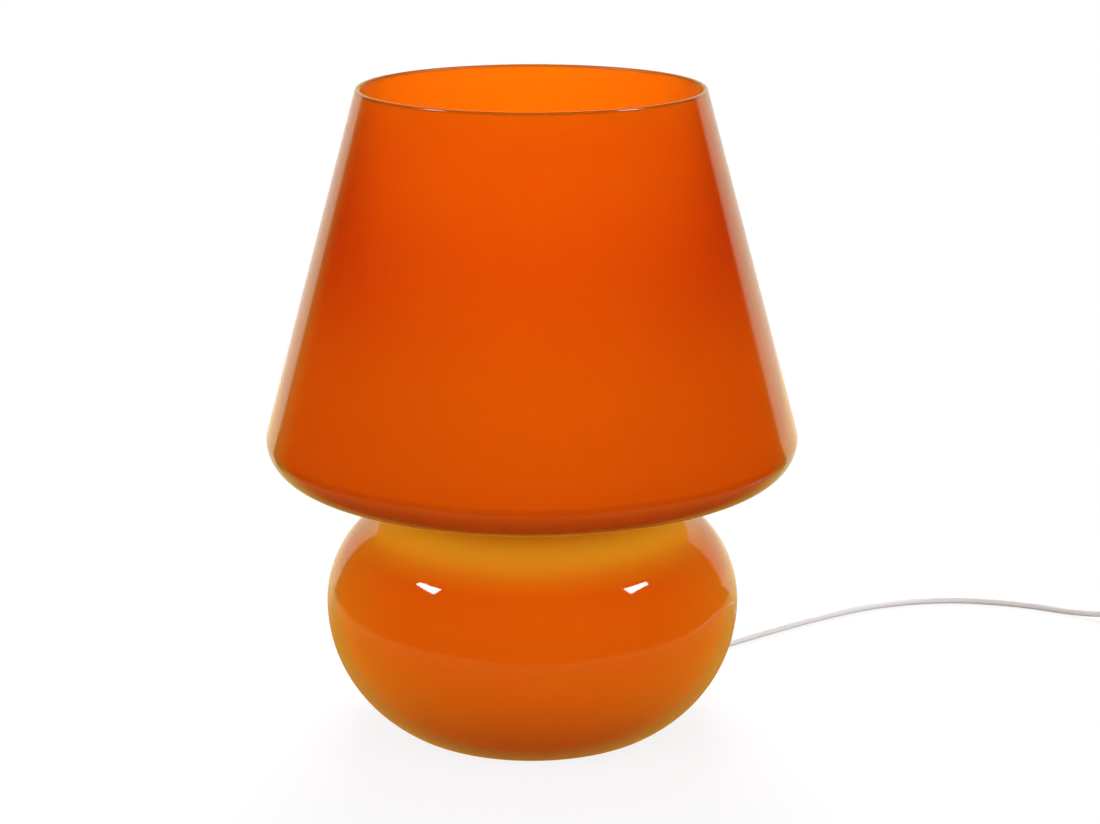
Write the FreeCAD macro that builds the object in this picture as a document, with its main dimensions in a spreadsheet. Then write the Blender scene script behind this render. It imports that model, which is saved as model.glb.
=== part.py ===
import FreeCAD, Part
import math
import os
import re

import Sketcher

Vector = FreeCAD.Vector
Rotation = FreeCAD.Rotation
Placement = FreeCAD.Placement

# Driving dimensions, in millimetres and degrees
SIZES = {
    # Glass: shade, neck and base in one piece
    "lamp_height": 420,
    "rim_radius": 111,
    "shade_radius": 172.5,
    "edge_rounding": 21,
    "neck_radius": 36,
    "neck_rounding": 11,
    "neck_straight": 1.3,
    "base_radius": 135.8,
    "base_widest_height": 81.3,
    "upper_rounding": 69,
    "foot_cut": 11.7,
    "foot_rounding": 22,
    "kick_radius": 60,
    "kick_depth": 3,
    "glass_wall": 3,
    # Hole for the cord, low at the back
    "hole_height": 30,
    "hole_radius": 5,
    # Cord and its bush
    "cord_radius": 2.5,
    "cord_clear": 0.15,
    "bush_clear": 0.2,
    "bush_lift": 0.1,
    "bush_inner_gap": 0.45,
    "bush_flange_radius": 8,
    "bush_flange": 1.6,
    "bush_sleeve_length": 22,
    "bush_root_radius": 5.2,
    "bush_tip_radius": 3.5,
    # Closing plate of the neck
    "gasket_margin": 1.5,
    "gasket_width": 9.5,
    "gasket_thickness": 2,
    "plate_overhang": 1.5,
    "plate_thickness": 1.2,
    "plate_lip": 2.6,
    "fit_clear": 0.15,
    # Spring clips and rivets
    "clip_count": 3,
    "clip_inner_reach": 12,
    "clip_width": 10,
    "clip_sheet": 0.6,
    "clip_wall_gap": 2.4,
    "clip_straight": 13.5,
    "clip_slant": 15.5,
    "clip_bulge": 4.6,
    "clip_tip": 7,
    "rivet_circle": 18,
    "rivet_radius": 1.5,
    "rivet_head_radius": 2.8,
    "rivet_head": 1.2,
    # Hollow stem, nut, washers and end bush
    "stem_radius": 5,
    "stem_bore": 3.5,
    "stem_below": 16,
    "stem_above": 7.5,
    "stem_chamfer": 0.6,
    "nut_flats": 14,
    "nut_thickness": 4,
    "washer_radius": 10,
    "washer_thickness": 1,
    "stem_bush_radius": 6.6,
    "stem_bush_overlap": 5,
    "stem_bush_lip": 1.5,
    "stem_bush_bore": 3.1,
    # Lampholder, heights from its foot
    "collar_radius": 9.5,
    "collar_height": 5,
    "collar_floor": 8,
    "holder_radius": 20.5,
    "holder_cone_top": 13,
    "holder_wall": 2.1,
    "shelf_width": 2.9,
    "insert_seat": 15,
    "insert_thickness": 7,
    "cap_height": 27,
    "cavity_radius": 8,
    "cavity_cone_top": 12,
    "lock_screw_height": 2.5,
    "lock_screw_radius": 1.5,
    "skirt_gap": 0.2,
    "skirt_flange": 4,
    "skirt_taper": 1.3,
    "skirt_height": 58,
    "skirt_bore": 14.6,
    # Contacts and terminal screws of the lampholder
    "contact_sheet": 0.5,
    "contact_width": 6,
    "contact_outer_reach": 14,
    "centre_contact_rise": 2.7,
    "centre_contact_half": 3.5,
    "side_contact_inner_reach": 5,
    "side_contact_height": 16,
    "terminal_reach": 9.5,
    "terminal_radius": 1.5,
    "terminal_depth": 4,
    "terminal_head_radius": 2.7,
    "terminal_head": 1.6,
    "terminal_slot": 0.7,
    "wire_radius": 0.9,
    "wire_spread": 1.2,
    "wire_reach": 12.3,
    "wire_start": 9.5,
    "wire_rise": 1.6,
    "wire_top": 3.3,
    "wire_bend": 1.8,
    # Bulb, heights from its contact
    "bulb_gap": 0.35,
    "bulb_radius": 30,
    "bulb_length": 105,
    "bulb_glass": 1,
    "bulb_neck_radius": 11.2,
    "bulb_neck_base": 18.5,
    "bulb_neck_top": 28.5,
    "bulb_tip_radius": 3.2,
    "bulb_contact_radius": 4.6,
    "bulb_contact_height": 1.9,
    "insulator_top_radius": 11.4,
    "insulator_height": 4.6,
    "bulb_cap_radius": 13.1,
    "bulb_cap_sheet": 0.4,
    "bulb_cap_height": 26.5,
    "bulb_thread_count": 5,
    "bulb_thread_depth": 0.9,
    "bulb_thread_pitch": 3.6,
    "bulb_press_radius": 2.4,
    "bulb_stem_height": 52,
    "filament_radius": 0.4,
    "filament_spread": 10,
    "filament_height": 72,
    # Switch in the cord, in its own frame, with the cord along X
    "switch_x": 208.4,
    "switch_y": 453.9,
    "switch_turn": 18,
    "switch_length": 64,
    "switch_width": 27,
    "switch_height": 19,
    "switch_split": 8,
    "switch_corner": 9,
    "switch_wall": 2,
    "switch_top_rounding": 3,
    "switch_cord_depth": 8,
    "switch_screw_x": 21,
    "switch_screw_y": 7.6,
    "switch_screw_radius": 1.3,
    "switch_screw_head_radius": 2.5,
    "switch_screw_head": 1.4,
    "switch_screw_length": 10,
    "switch_boss_radius": 3.2,
    "window_length": 24,
    "window_width": 11,
    "rocker_clear": 1.1,
    "rocker_side_clear": 0.4,
    "rocker_pivot_height": 15,
    "rocker_below": 3,
    "rocker_ends": 6.2,
    "rocker_dip": 1.6,
    "rocker_tilt": 8,
    "pivot_radius": 1.5,
    "pivot_length": 1.5,
    "pivot_clear": 0.3,
    "cheek_length": 9,
    "cheek_thickness": 2,
    "cheek_drop": 2.8,
    "terminal_block_x": 13.5,
    "terminal_block_length": 7,
    "terminal_block_width": 6,
    "terminal_block_height": 5,
    # Plug, in its own frame, with the pins along X
    "plug_turn": -75,
    "plug_length": 33.5,
    "plug_width": 35.2,
    "plug_thickness": 13.7,
    "plug_rear_width": 15,
    "plug_rear_length": 9,
    "plug_shoulder_length": 17,
    "plug_corner": 2.5,
    "plug_edge": 2,
    "plug_sleeve_length": 20,
    "plug_sleeve_root": 5.4,
    "plug_sleeve_tip": 3.5,
    "plug_cord_depth": 3,
    "plug_sleeve_start": 1.5,
    "pin_radius": 2,
    "pin_length": 19,
    "pin_root": 8,
    "pin_root_radius": 1.6,
    "pin_spacing": 18.6,
    "pin_tip": 1.2,
    "pin_clear": 0.05,
    # Coil of the put-away cord, and its tie
    "coil_x": 254.5,
    "coil_y": 404,
    "coil_radius": 41,
    "coil_pitch": 6.6,
    "coil_layer": 5.9,
    "coil_lower_halves": 6,
    "coil_upper_halves": 5,
    "tie_sheet": 0.8,
    "tie_clear": 0.5,
    "tie_width": 6,
}

doc = FreeCAD.newDocument("table_lamp")
sheet = doc.addObject("Spreadsheet::Sheet", "Sizes")
for row, (alias, number) in enumerate(SIZES.items(), 1):
    sheet.set(f"A{row}", alias)
    sheet.set(f"B{row}", str(number))
    sheet.setAlias(f"B{row}", alias)
doc.recompute()

PIECES = []

# Two heights or lengths this close count as one
NEAR = 1e-4


def bound(formula):
    """The formula with the name of each size pointing at its cell."""

    def cell(word):
        return f"Sizes.{word[0]}" if word[0] in SIZES else word[0]

    return re.sub(r"[a-z][a-z_]*", cell, str(formula))


def value(formula):
    """What a formula of sizes comes to."""
    return float(sheet.evalExpression(bound(formula)))


# Heights that several pieces share
LOWER_ROUNDING = "(base_widest_height + foot_cut)"
LOWER_CENTRE = f"(base_radius - {LOWER_ROUNDING})"
SHOULDER = "(base_widest_height + upper_rounding)"
NECK_LOW = f"({SHOULDER} + neck_rounding)"
NECK_HIGH = f"({NECK_LOW} + neck_straight)"
UNDERSIDE = f"({NECK_HIGH} + neck_rounding)"
SEAT = f"({UNDERSIDE} + glass_wall)"
PLATE = f"({SEAT} + gasket_thickness)"
HOLDER = f"({PLATE} + plate_thickness + washer_thickness)"
INSERT_TOP = "(insert_seat + insert_thickness)"
BULB = f"({HOLDER} + {INSERT_TOP} + centre_contact_rise + bulb_gap)"

# Where the cord's hole breaks the outer face of the glass, and the way straight out of it
HOLE_REACH = f"({LOWER_CENTRE} + sqrt({LOWER_ROUNDING}^2 - (base_widest_height - hole_height)^2))"
HOLE_OUT = f"(({HOLE_REACH} - {LOWER_CENTRE}) / {LOWER_ROUNDING})"
HOLE_UP = f"((hole_height - base_widest_height) / {LOWER_ROUNDING})"
HOLE_POINT = Vector(0, value(HOLE_REACH), value("hole_height"))
HOLE_AXIS = Vector(0, value(HOLE_OUT), value(HOLE_UP))
COIL_FLOOR = "(cord_radius + tie_clear + tie_sheet)"


def new_body(label):
    body = doc.addObject("PartDesign::Body", label)
    body.Label = label
    PIECES.append(body)
    return body


def new_sketch(body, role, offset=None):
    """A sketch on one of the body's own origin planes, moved along its normal by a formula."""
    sketch = body.newObject("Sketcher::SketchObject", body.Label + "_sketch")
    plane = next(f for f in body.Origin.OriginFeatures if f.Role == role)
    sketch.AttachmentSupport = [(plane, "")]
    sketch.MapMode = "FlatFace"
    if offset is not None:
        sketch.setExpression("AttachmentOffset.Base.z", bound(offset))
    return sketch


def pin(sketch, geometry, position, across, up):
    """Binds a point's distances from the sketch's origin to two formulas."""
    for kind, formula, axis in (("DistanceX", across, -2), ("DistanceY", up, -1)):
        size = value(formula)
        if formula == "0":
            sketch.addConstraint(Sketcher.Constraint("PointOnObject", geometry, position, axis))
            continue
        rule = Sketcher.Constraint(kind, -1, 1, geometry, position, size)
        sketch.setExpression(f"Constraints[{sketch.addConstraint(rule)}]", bound(formula))


def draw(sketch, corners):
    """A closed outline. A corner is (across, up), and an edge that leaves it as an arc adds the way it
    turns, left or right, and its radius."""
    spots = [Vector(value(corner[0]), value(corner[1]), 0) for corner in corners]
    first = sketch.GeometryCount
    ends = []
    for i, corner in enumerate(corners):
        start, end = spots[i], spots[(i + 1) % len(spots)]
        if len(corner) == 2:
            sketch.addGeometry(Part.LineSegment(start, end))
            ends.append((1, 2))
            continue
        radius = value(corner[3])
        side = 1 if corner[2] == "left" else -1
        chord = end - start
        rise = math.sqrt(max(radius**2 - chord.Length**2 / 4, 0))
        centre = (start + end) / 2 + Vector(-chord.y, chord.x, 0).normalize() * rise * side
        angles = [math.atan2(p.y - centre.y, p.x - centre.x) for p in (start, end)]
        low, high = angles if side > 0 else reversed(angles)
        high += 2 * math.pi if high < low else 0
        circle = Part.Circle(centre, Vector(0, 0, 1), radius)
        sketch.addGeometry(Part.ArcOfCircle(circle, low, high))
        ends.append((1, 2) if side > 0 else (2, 1))
    count = len(corners)
    for i in range(count):
        after = (i + 1) % count
        rule = ("Coincident", first + i, ends[i][1], first + after, ends[after][0])
        sketch.addConstraint(Sketcher.Constraint(*rule))
    for i, corner in enumerate(corners):
        pin(sketch, first + i, ends[i][0], corner[0], corner[1])
        if len(corner) > 2:
            rule = Sketcher.Constraint("Radius", first + i, value(corner[3]))
            sketch.setExpression(f"Constraints[{sketch.addConstraint(rule)}]", bound(corner[3]))


def rounded_box(length, width, radius):
    """The corners of a rectangle about the origin, rounded, for draw."""
    x, y = f"({length}) / 2", f"({width}) / 2"
    return [
        (f"-({x} - {radius})", f"-{y}"),
        (f"{x} - {radius}", f"-{y}", "left", radius),
        (x, f"-({y} - {radius})"),
        (x, f"{y} - {radius}", "left", radius),
        (f"{x} - {radius}", y),
        (f"-({x} - {radius})", y, "left", radius),
        (f"-{x}", f"{y} - {radius}"),
        (f"-{x}", f"-({y} - {radius})", "left", radius),
    ]


def revolve(body, sketch):
    feature = body.newObject("PartDesign::Revolution", body.Label + "_turn")
    feature.Profile = sketch
    feature.ReferenceAxis = (sketch, ["V_Axis"])
    feature.Angle = 360
    return feature


def pad(body, sketch, length, symmetric=False):
    feature = body.newObject("PartDesign::Pad", body.Label + "_pad")
    feature.Profile = sketch
    feature.setExpression("Length", bound(length))
    if symmetric:
        feature.SideType = "Symmetric"
    return feature


def pocket_up(body, sketch, depth):
    """Cuts upwards from the sketch, and makes sure that it took something away."""
    doc.recompute()
    before = body.Shape.Volume
    feature = body.newObject("PartDesign::Pocket", body.Label + "_pocket")
    feature.Profile = sketch
    feature.setExpression("Length", bound(depth))
    feature.Reversed = True
    doc.recompute()
    if body.Shape.Volume >= before:
        raise RuntimeError(f"{body.Label}: the pocket cuts nothing")
    return feature


def primitive(body, kind, sizes, at, axis=Vector(0, 0, 1)):
    """A box, cylinder or cone added to the body or cut from it, with its sizes and place bound."""
    feature = body.newObject("PartDesign::" + kind, f"{body.Label}_{kind}")
    feature.Placement = Placement(Vector(*map(value, at)), Rotation(Vector(0, 0, 1), axis))
    for name, formula in sizes.items():
        feature.setExpression(name, bound(formula))
    for name, formula in zip("xyz", at):
        feature.setExpression(f"Placement.Base.{name}", bound(formula))
    return feature


def rod(body, radius, length, at, axis=Vector(0, 0, 1)):
    return primitive(body, "AdditiveCylinder", {"Radius": radius, "Height": length}, at, axis)


def drill(body, radius, length, at, axis=Vector(0, 0, 1)):
    return primitive(body, "SubtractiveCylinder", {"Radius": radius, "Height": length}, at, axis)


def block(body, kind, length, width, height, at):
    return primitive(body, kind + "Box", {"Length": length, "Width": width, "Height": height}, at)


def ring(body, features, count):
    """Repeats features evenly around the body's Z axis."""
    pattern = body.newObject("PartDesign::PolarPattern", body.Label + "_ring")
    pattern.Originals = features
    axis = next(f for f in body.Origin.OriginFeatures if f.Role == "Z_Axis")
    pattern.Axis = (axis, [""])
    pattern.Angle = 360
    pattern.setExpression("Occurrences", bound(count))
    body.Tip = pattern
    return pattern


def round_edges(body, radius, chosen):
    """Rounds the edges that chosen picks from the body so far."""
    doc.recompute()
    base = body.Tip
    names = [f"Edge{i}" for i, edge in enumerate(base.Shape.Edges, 1) if chosen(edge)]
    feature = body.newObject("PartDesign::Fillet", body.Label + "_round")
    feature.Base = (base, names)
    feature.setExpression("Radius", bound(radius))
    return feature


def lift(body, height):
    body.setExpression("Placement.Base.z", bound(height))


def turned(label, corners, height=None):
    """A piece turned about Z from an outline of radius and height, lifted by a formula."""
    body = new_body(label)
    sketch = new_sketch(body, "XZ_Plane")
    draw(sketch, corners)
    revolve(body, sketch)
    if height is not None:
        lift(body, height)
    return body


def at_height(edge, height):
    box = edge.BoundBox
    return abs(box.ZMin - height) < NEAR and abs(box.ZMax - height) < NEAR


def glass_body():
    """Shade, neck and base: one wall of even thickness with a half-round rim."""
    w = "glass_wall"
    widest = "base_widest_height"
    upper_centre = "(base_radius - upper_rounding)"
    neck_centre = "(neck_radius + neck_rounding)"
    inner_neck = "(neck_rounding + glass_wall)"
    # Foot: an arc between the table and the lower round
    span = f"({LOWER_ROUNDING} - foot_rounding)"
    drop = "(base_widest_height - foot_rounding)"
    foot_run = f"sqrt({span}^2 - {drop}^2)"
    foot_centre = f"({LOWER_CENTRE} + {foot_run})"

    def foot_joint(inset):
        reach = f"({LOWER_ROUNDING} - {inset}) / {span}"
        return f"{LOWER_CENTRE} + {foot_run} * {reach}", f"{widest} - {drop} * {reach}"

    # Kick: a shallow dome that lifts the middle of the foot
    kick = "((kick_radius^2 + kick_depth^2) / (2 * kick_depth))"
    kick_centre = f"(kick_depth - {kick})"
    inner_kick = f"({kick} + {w})"
    # Cone: the straight side that touches the edge's round and the rim's round
    edge_r, edge_z = "(shade_radius - edge_rounding)", f"({UNDERSIDE} + edge_rounding)"
    rim_r, rim_z = f"(rim_radius - {w} / 2)", f"(lamp_height - {w} / 2)"
    run, climb = f"({rim_r} - {edge_r})", f"({rim_z} - {edge_z})"
    fall = f"({w} / 2 - edge_rounding)"
    square = f"({run}^2 + {climb}^2)"
    slope = f"sqrt({square} - {fall}^2)"
    out_r = f"(({fall} * {run} + {slope} * {climb}) / {square})"
    out_z = f"(({fall} * {climb} - {slope} * {run}) / {square})"

    def edge_joint(inset):
        reach = f"(edge_rounding - {inset})"
        return f"{edge_r} + {reach} * {out_r}", f"{edge_z} + {reach} * {out_z}"

    half = f"{w} / 2"
    outer = [
        ("0", "kick_depth", "right", kick),
        ("kick_radius", "0"),
        (foot_centre, "0", "left", "foot_rounding"),
        (*foot_joint(0), "left", LOWER_ROUNDING),
        ("base_radius", widest, "left", "upper_rounding"),
        (upper_centre, SHOULDER),
        (neck_centre, SHOULDER, "right", "neck_rounding"),
        ("neck_radius", NECK_LOW),
        ("neck_radius", NECK_HIGH, "right", "neck_rounding"),
        (neck_centre, UNDERSIDE),
        (edge_r, UNDERSIDE, "left", "edge_rounding"),
        edge_joint(0),
    ]
    rim = [
        (f"{rim_r} + {half} * {out_r}", f"{rim_z} + {half} * {out_z}", "left", half),
        (f"{rim_r} - {half} * {out_z}", f"{rim_z} + {half} * {out_r}", "left", half),
        (f"{rim_r} - {half} * {out_r}", f"{rim_z} - {half} * {out_z}"),
    ]
    inner = [
        (*edge_joint(w), "right", f"edge_rounding - {w}"),
        (edge_r, SEAT),
        (neck_centre, SEAT, "left", inner_neck),
        (f"neck_radius - {w}", NECK_HIGH),
        (f"neck_radius - {w}", NECK_LOW, "left", inner_neck),
        (neck_centre, f"{SHOULDER} - {w}"),
        (upper_centre, f"{SHOULDER} - {w}", "right", f"upper_rounding - {w}"),
        (f"base_radius - {w}", widest, "right", f"{LOWER_ROUNDING} - {w}"),
        (*foot_joint(w), "right", f"foot_rounding - {w}"),
        (foot_centre, w),
        (f"sqrt({inner_kick}^2 - ({w} - {kick_centre})^2)", w, "left", inner_kick),
        ("0", f"kick_depth + {w}"),
    ]
    body = new_body("glass_body")
    sketch = new_sketch(body, "XZ_Plane")
    draw(sketch, outer + rim + inner)
    revolve(body, sketch)
    # The drill comes from outside, square to the wall, and stops in the hollow
    reach = "(2 * glass_wall)"
    start = ("0", f"{HOLE_REACH} - {reach} * {HOLE_OUT}", f"hole_height - {reach} * {HOLE_UP}")
    drill(body, "hole_radius", f"2 * {reach}", start, HOLE_AXIS)


def cord_bush():
    """Soft bush with a flange each side of the glass and a tapered sleeve, along the hole's axis."""
    bore = "(cord_radius + cord_clear)"
    body_radius = "(hole_radius - bush_clear)"
    inner = "(glass_wall + bush_inner_gap)"
    corners = [
        (bore, f"-({inner} + bush_flange)"),
        ("bush_flange_radius - bush_flange", f"-({inner} + bush_flange)"),
        ("bush_flange_radius - bush_flange", f"-{inner}"),
        (body_radius, f"-{inner}"),
        (body_radius, "bush_lift"),
        ("bush_flange_radius", "bush_lift"),
        ("bush_flange_radius", "bush_lift + bush_flange"),
        ("bush_root_radius", "bush_lift + bush_flange"),
        ("bush_tip_radius", "bush_sleeve_length"),
        (bore, "bush_sleeve_length"),
    ]
    body = turned("cord_bush", corners)
    body.Placement = Placement(HOLE_POINT, Rotation(Vector(0, 0, 1), HOLE_AXIS))


def neck_pieces():
    """Rubber ring, closing plate, spring clips and rivets."""
    ring_inner = "(neck_radius + neck_rounding + gasket_margin)"
    ring_outer = f"({ring_inner} + gasket_width)"
    flat = [
        (ring_inner, "0"),
        (ring_outer, "0"),
        (ring_outer, "gasket_thickness"),
        (ring_inner, "gasket_thickness"),
    ]
    turned("neck_gasket", flat, SEAT)

    edge = f"({ring_outer} + plate_overhang)"
    bore = "(stem_radius + fit_clear)"
    dish = [
        (bore, "0"),
        (edge, "0"),
        (edge, "plate_lip"),
        (f"{edge} - plate_thickness", "plate_lip"),
        (f"{edge} - plate_thickness", "plate_thickness"),
        (bore, "plate_thickness"),
    ]
    plate = turned("neck_plate", dish, PLATE)
    hole = drill(plate, "rivet_radius + fit_clear", "plate_thickness", ("rivet_circle", "0", "0"))
    ring(plate, [hole], "clip_count")

    leg = "(neck_radius - glass_wall - clip_wall_gap)"
    s = "clip_sheet"
    bulge, bulge_z = f"({leg} + clip_bulge)", f"({s} + clip_straight + clip_slant)"
    strip = [
        ("clip_inner_reach", "0"),
        ("clip_inner_reach", f"-{s}"),
        (f"{leg} - {s}", f"-{s}"),
        (f"{leg} - {s}", f"-({s} + clip_straight)"),
        (f"{bulge} - {s}", f"-{bulge_z}"),
        (f"{leg} - {s}", f"-({bulge_z} + clip_tip)"),
        (leg, f"-({bulge_z} + clip_tip)"),
        (bulge, f"-{bulge_z}"),
        (leg, f"-({s} + clip_straight)"),
        (leg, "0"),
    ]
    clips = new_body("spring_clips")
    sketch = new_sketch(clips, "XZ_Plane")
    draw(sketch, strip)
    ring(clips, [pad(clips, sketch, "clip_width", symmetric=True)], "clip_count")
    for i in range(SIZES["clip_count"]):
        angle = f"({i} * 360deg / clip_count)"
        place = (f"rivet_circle * cos({angle})", f"rivet_circle * sin({angle})", f"-{s}")
        drill(clips, "rivet_radius + fit_clear", s, place)
    lift(clips, PLATE)

    rivets = new_body("clip_rivets")
    made = [
        rod(rivets, "rivet_head_radius", "rivet_head", ("rivet_circle", "0", f"-{s} - rivet_head")),
        rod(rivets, "rivet_radius", f"{s} + plate_thickness", ("rivet_circle", "0", f"-{s}")),
        rod(rivets, "rivet_head_radius", "rivet_head", ("rivet_circle", "0", "plate_thickness")),
    ]
    ring(rivets, made, "clip_count")
    lift(rivets, PLATE)


def stem_pieces():
    """Hollow threaded stem through the plate, with its nut, washers and end bush."""
    top = "(plate_thickness + washer_thickness + stem_above)"
    chamfer = "stem_chamfer"
    tube = [
        ("stem_bore", "-stem_below"),
        (f"stem_radius - {chamfer}", "-stem_below"),
        ("stem_radius", f"-(stem_below - {chamfer})"),
        ("stem_radius", f"{top} - {chamfer}"),
        (f"stem_radius - {chamfer}", top),
        ("stem_bore", top),
    ]
    turned("threaded_stem", tube, PLATE)

    bore = "(stem_radius + fit_clear)"
    nut = new_body("stem_nut")
    sketch = new_sketch(nut, "XY_Plane")
    corner = "nut_flats / 2 / cos(30deg)"
    draw(sketch, [(f"{corner} * cos({a}deg)", f"{corner} * sin({a}deg)") for a in range(30, 390, 60)])
    pad(nut, sketch, "nut_thickness")
    drill(nut, bore, "nut_thickness", ("0", "0", "0"))
    lift(nut, f"{PLATE} - washer_thickness - nut_thickness")

    washers = new_body("stem_washers")
    for height in ("-washer_thickness", "plate_thickness"):
        rod(washers, "washer_radius", "washer_thickness", ("0", "0", height))
    length = "2 * washer_thickness + plate_thickness"
    drill(washers, bore, length, ("0", "0", "-washer_thickness"))
    lift(washers, PLATE)

    sleeve = [
        ("stem_bush_bore", "-stem_bush_lip"),
        ("stem_bush_radius", "-stem_bush_lip"),
        ("stem_bush_radius", "stem_bush_overlap"),
        (bore, "stem_bush_overlap"),
        (bore, "0"),
        ("stem_bush_bore", "0"),
    ]
    turned("stem_bush", sleeve, f"{PLATE} - stem_below")


def holder_pieces():
    """E27 lampholder: cap, insert, skirt, contacts and screws, with heights from its foot."""
    bore = "(stem_radius + fit_clear)"
    shell = "(holder_radius - holder_wall)"
    shelf = f"({shell} - shelf_width)"
    cup = [
        (bore, "0"),
        ("collar_radius", "0"),
        ("collar_radius", "collar_height"),
        ("holder_radius", "holder_cone_top"),
        ("holder_radius", "cap_height"),
        (shell, "cap_height"),
        (shell, "insert_seat"),
        (shelf, "insert_seat"),
        (shelf, "cavity_cone_top"),
        ("cavity_radius", "collar_floor"),
        (bore, "collar_floor"),
    ]
    cap = turned("holder_cap", cup, HOLDER)
    across = Vector(0, 1, 0)
    screw_at = ("0", "stem_radius", "lock_screw_height")
    drill(cap, "lock_screw_radius + fit_clear", "collar_radius", screw_at, across)
    lock = new_body("holder_lock_screw")
    screw_at = ("0", bore, "lock_screw_height")
    rod(lock, "lock_screw_radius", f"collar_radius - {bore}", screw_at, across)
    slot = ("-lock_screw_radius", "collar_radius - terminal_slot", "lock_screw_height - terminal_slot / 2")
    block(lock, "Subtractive", "2 * lock_screw_radius", "terminal_slot", "terminal_slot", slot)
    lift(lock, HOLDER)

    insert = turned(
        "holder_insert",
        [
            ("0", "insert_seat"),
            (f"{shell} - fit_clear", "insert_seat"),
            (f"{shell} - fit_clear", INSERT_TOP),
            ("0", INSERT_TOP),
        ],
        HOLDER,
    )
    for side in ("", "-"):
        wire_at = (f"{side}wire_reach", "0", "insert_seat")
        drill(insert, "wire_radius + fit_clear", "insert_thickness", wire_at)
        screw_at = (f"{side}terminal_reach", "0", f"{INSERT_TOP} - terminal_depth - fit_clear")
        drill(insert, "terminal_radius + fit_clear", "terminal_depth + fit_clear", screw_at)

    skirt = [
        (f"{shelf} - skirt_gap", INSERT_TOP),
        (f"{shell} - fit_clear", INSERT_TOP),
        (f"{shell} - fit_clear", "cap_height + skirt_gap"),
        ("holder_radius", "cap_height + skirt_gap"),
        ("holder_radius", "cap_height + skirt_flange"),
        ("holder_radius - skirt_taper", "cap_height + skirt_flange + skirt_taper"),
        ("holder_radius - skirt_taper", "skirt_height"),
        ("skirt_bore", "skirt_height"),
        ("skirt_bore", "cap_height + skirt_flange"),
        (f"{shelf} - skirt_gap", "cap_height + skirt_gap"),
    ]
    turned("holder_skirt", skirt, HOLDER)

    t = "contact_sheet"
    rise = "centre_contact_rise"
    bridge = [
        ("-contact_outer_reach", "0"),
        (f"-(centre_contact_half + {rise})", "0"),
        ("-centre_contact_half", f"{rise} - {t}"),
        ("centre_contact_half", f"{rise} - {t}"),
        ("centre_contact_half", rise),
        (f"-(centre_contact_half + {t} / 2)", rise),
        (f"-(centre_contact_half + {rise} + {t} / 2)", t),
        ("-contact_outer_reach", t),
    ]
    tongue = [
        ("side_contact_inner_reach", "0"),
        ("contact_outer_reach", "0"),
        ("contact_outer_reach", "side_contact_height"),
        (f"contact_outer_reach - {t}", "side_contact_height"),
        (f"contact_outer_reach - {t}", t),
        ("side_contact_inner_reach", t),
    ]
    for label, corners, side in (("centre_contact", bridge, "-"), ("side_contact", tongue, "")):
        contact = new_body(label)
        sketch = new_sketch(contact, "XZ_Plane")
        draw(sketch, corners)
        pad(contact, sketch, "contact_width", symmetric=True)
        drill(contact, "terminal_radius + fit_clear", t, (f"{side}terminal_reach", "0", "0"))
        lift(contact, f"{HOLDER} + {INSERT_TOP}")

    screws = new_body("terminal_screws")
    for side in ("", "-"):
        x = f"{side}terminal_reach"
        rod(screws, "terminal_radius", f"terminal_depth + {t}", (x, "0", "-terminal_depth"))
        rod(screws, "terminal_head_radius", "terminal_head", (x, "0", t))
        slot = (f"{x} - terminal_head_radius", "-terminal_slot / 2", f"{t} + terminal_head - terminal_slot")
        block(screws, "Subtractive", "2 * terminal_head_radius", "terminal_slot", "terminal_slot", slot)
    lift(screws, f"{HOLDER} + {INSERT_TOP}")


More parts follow.
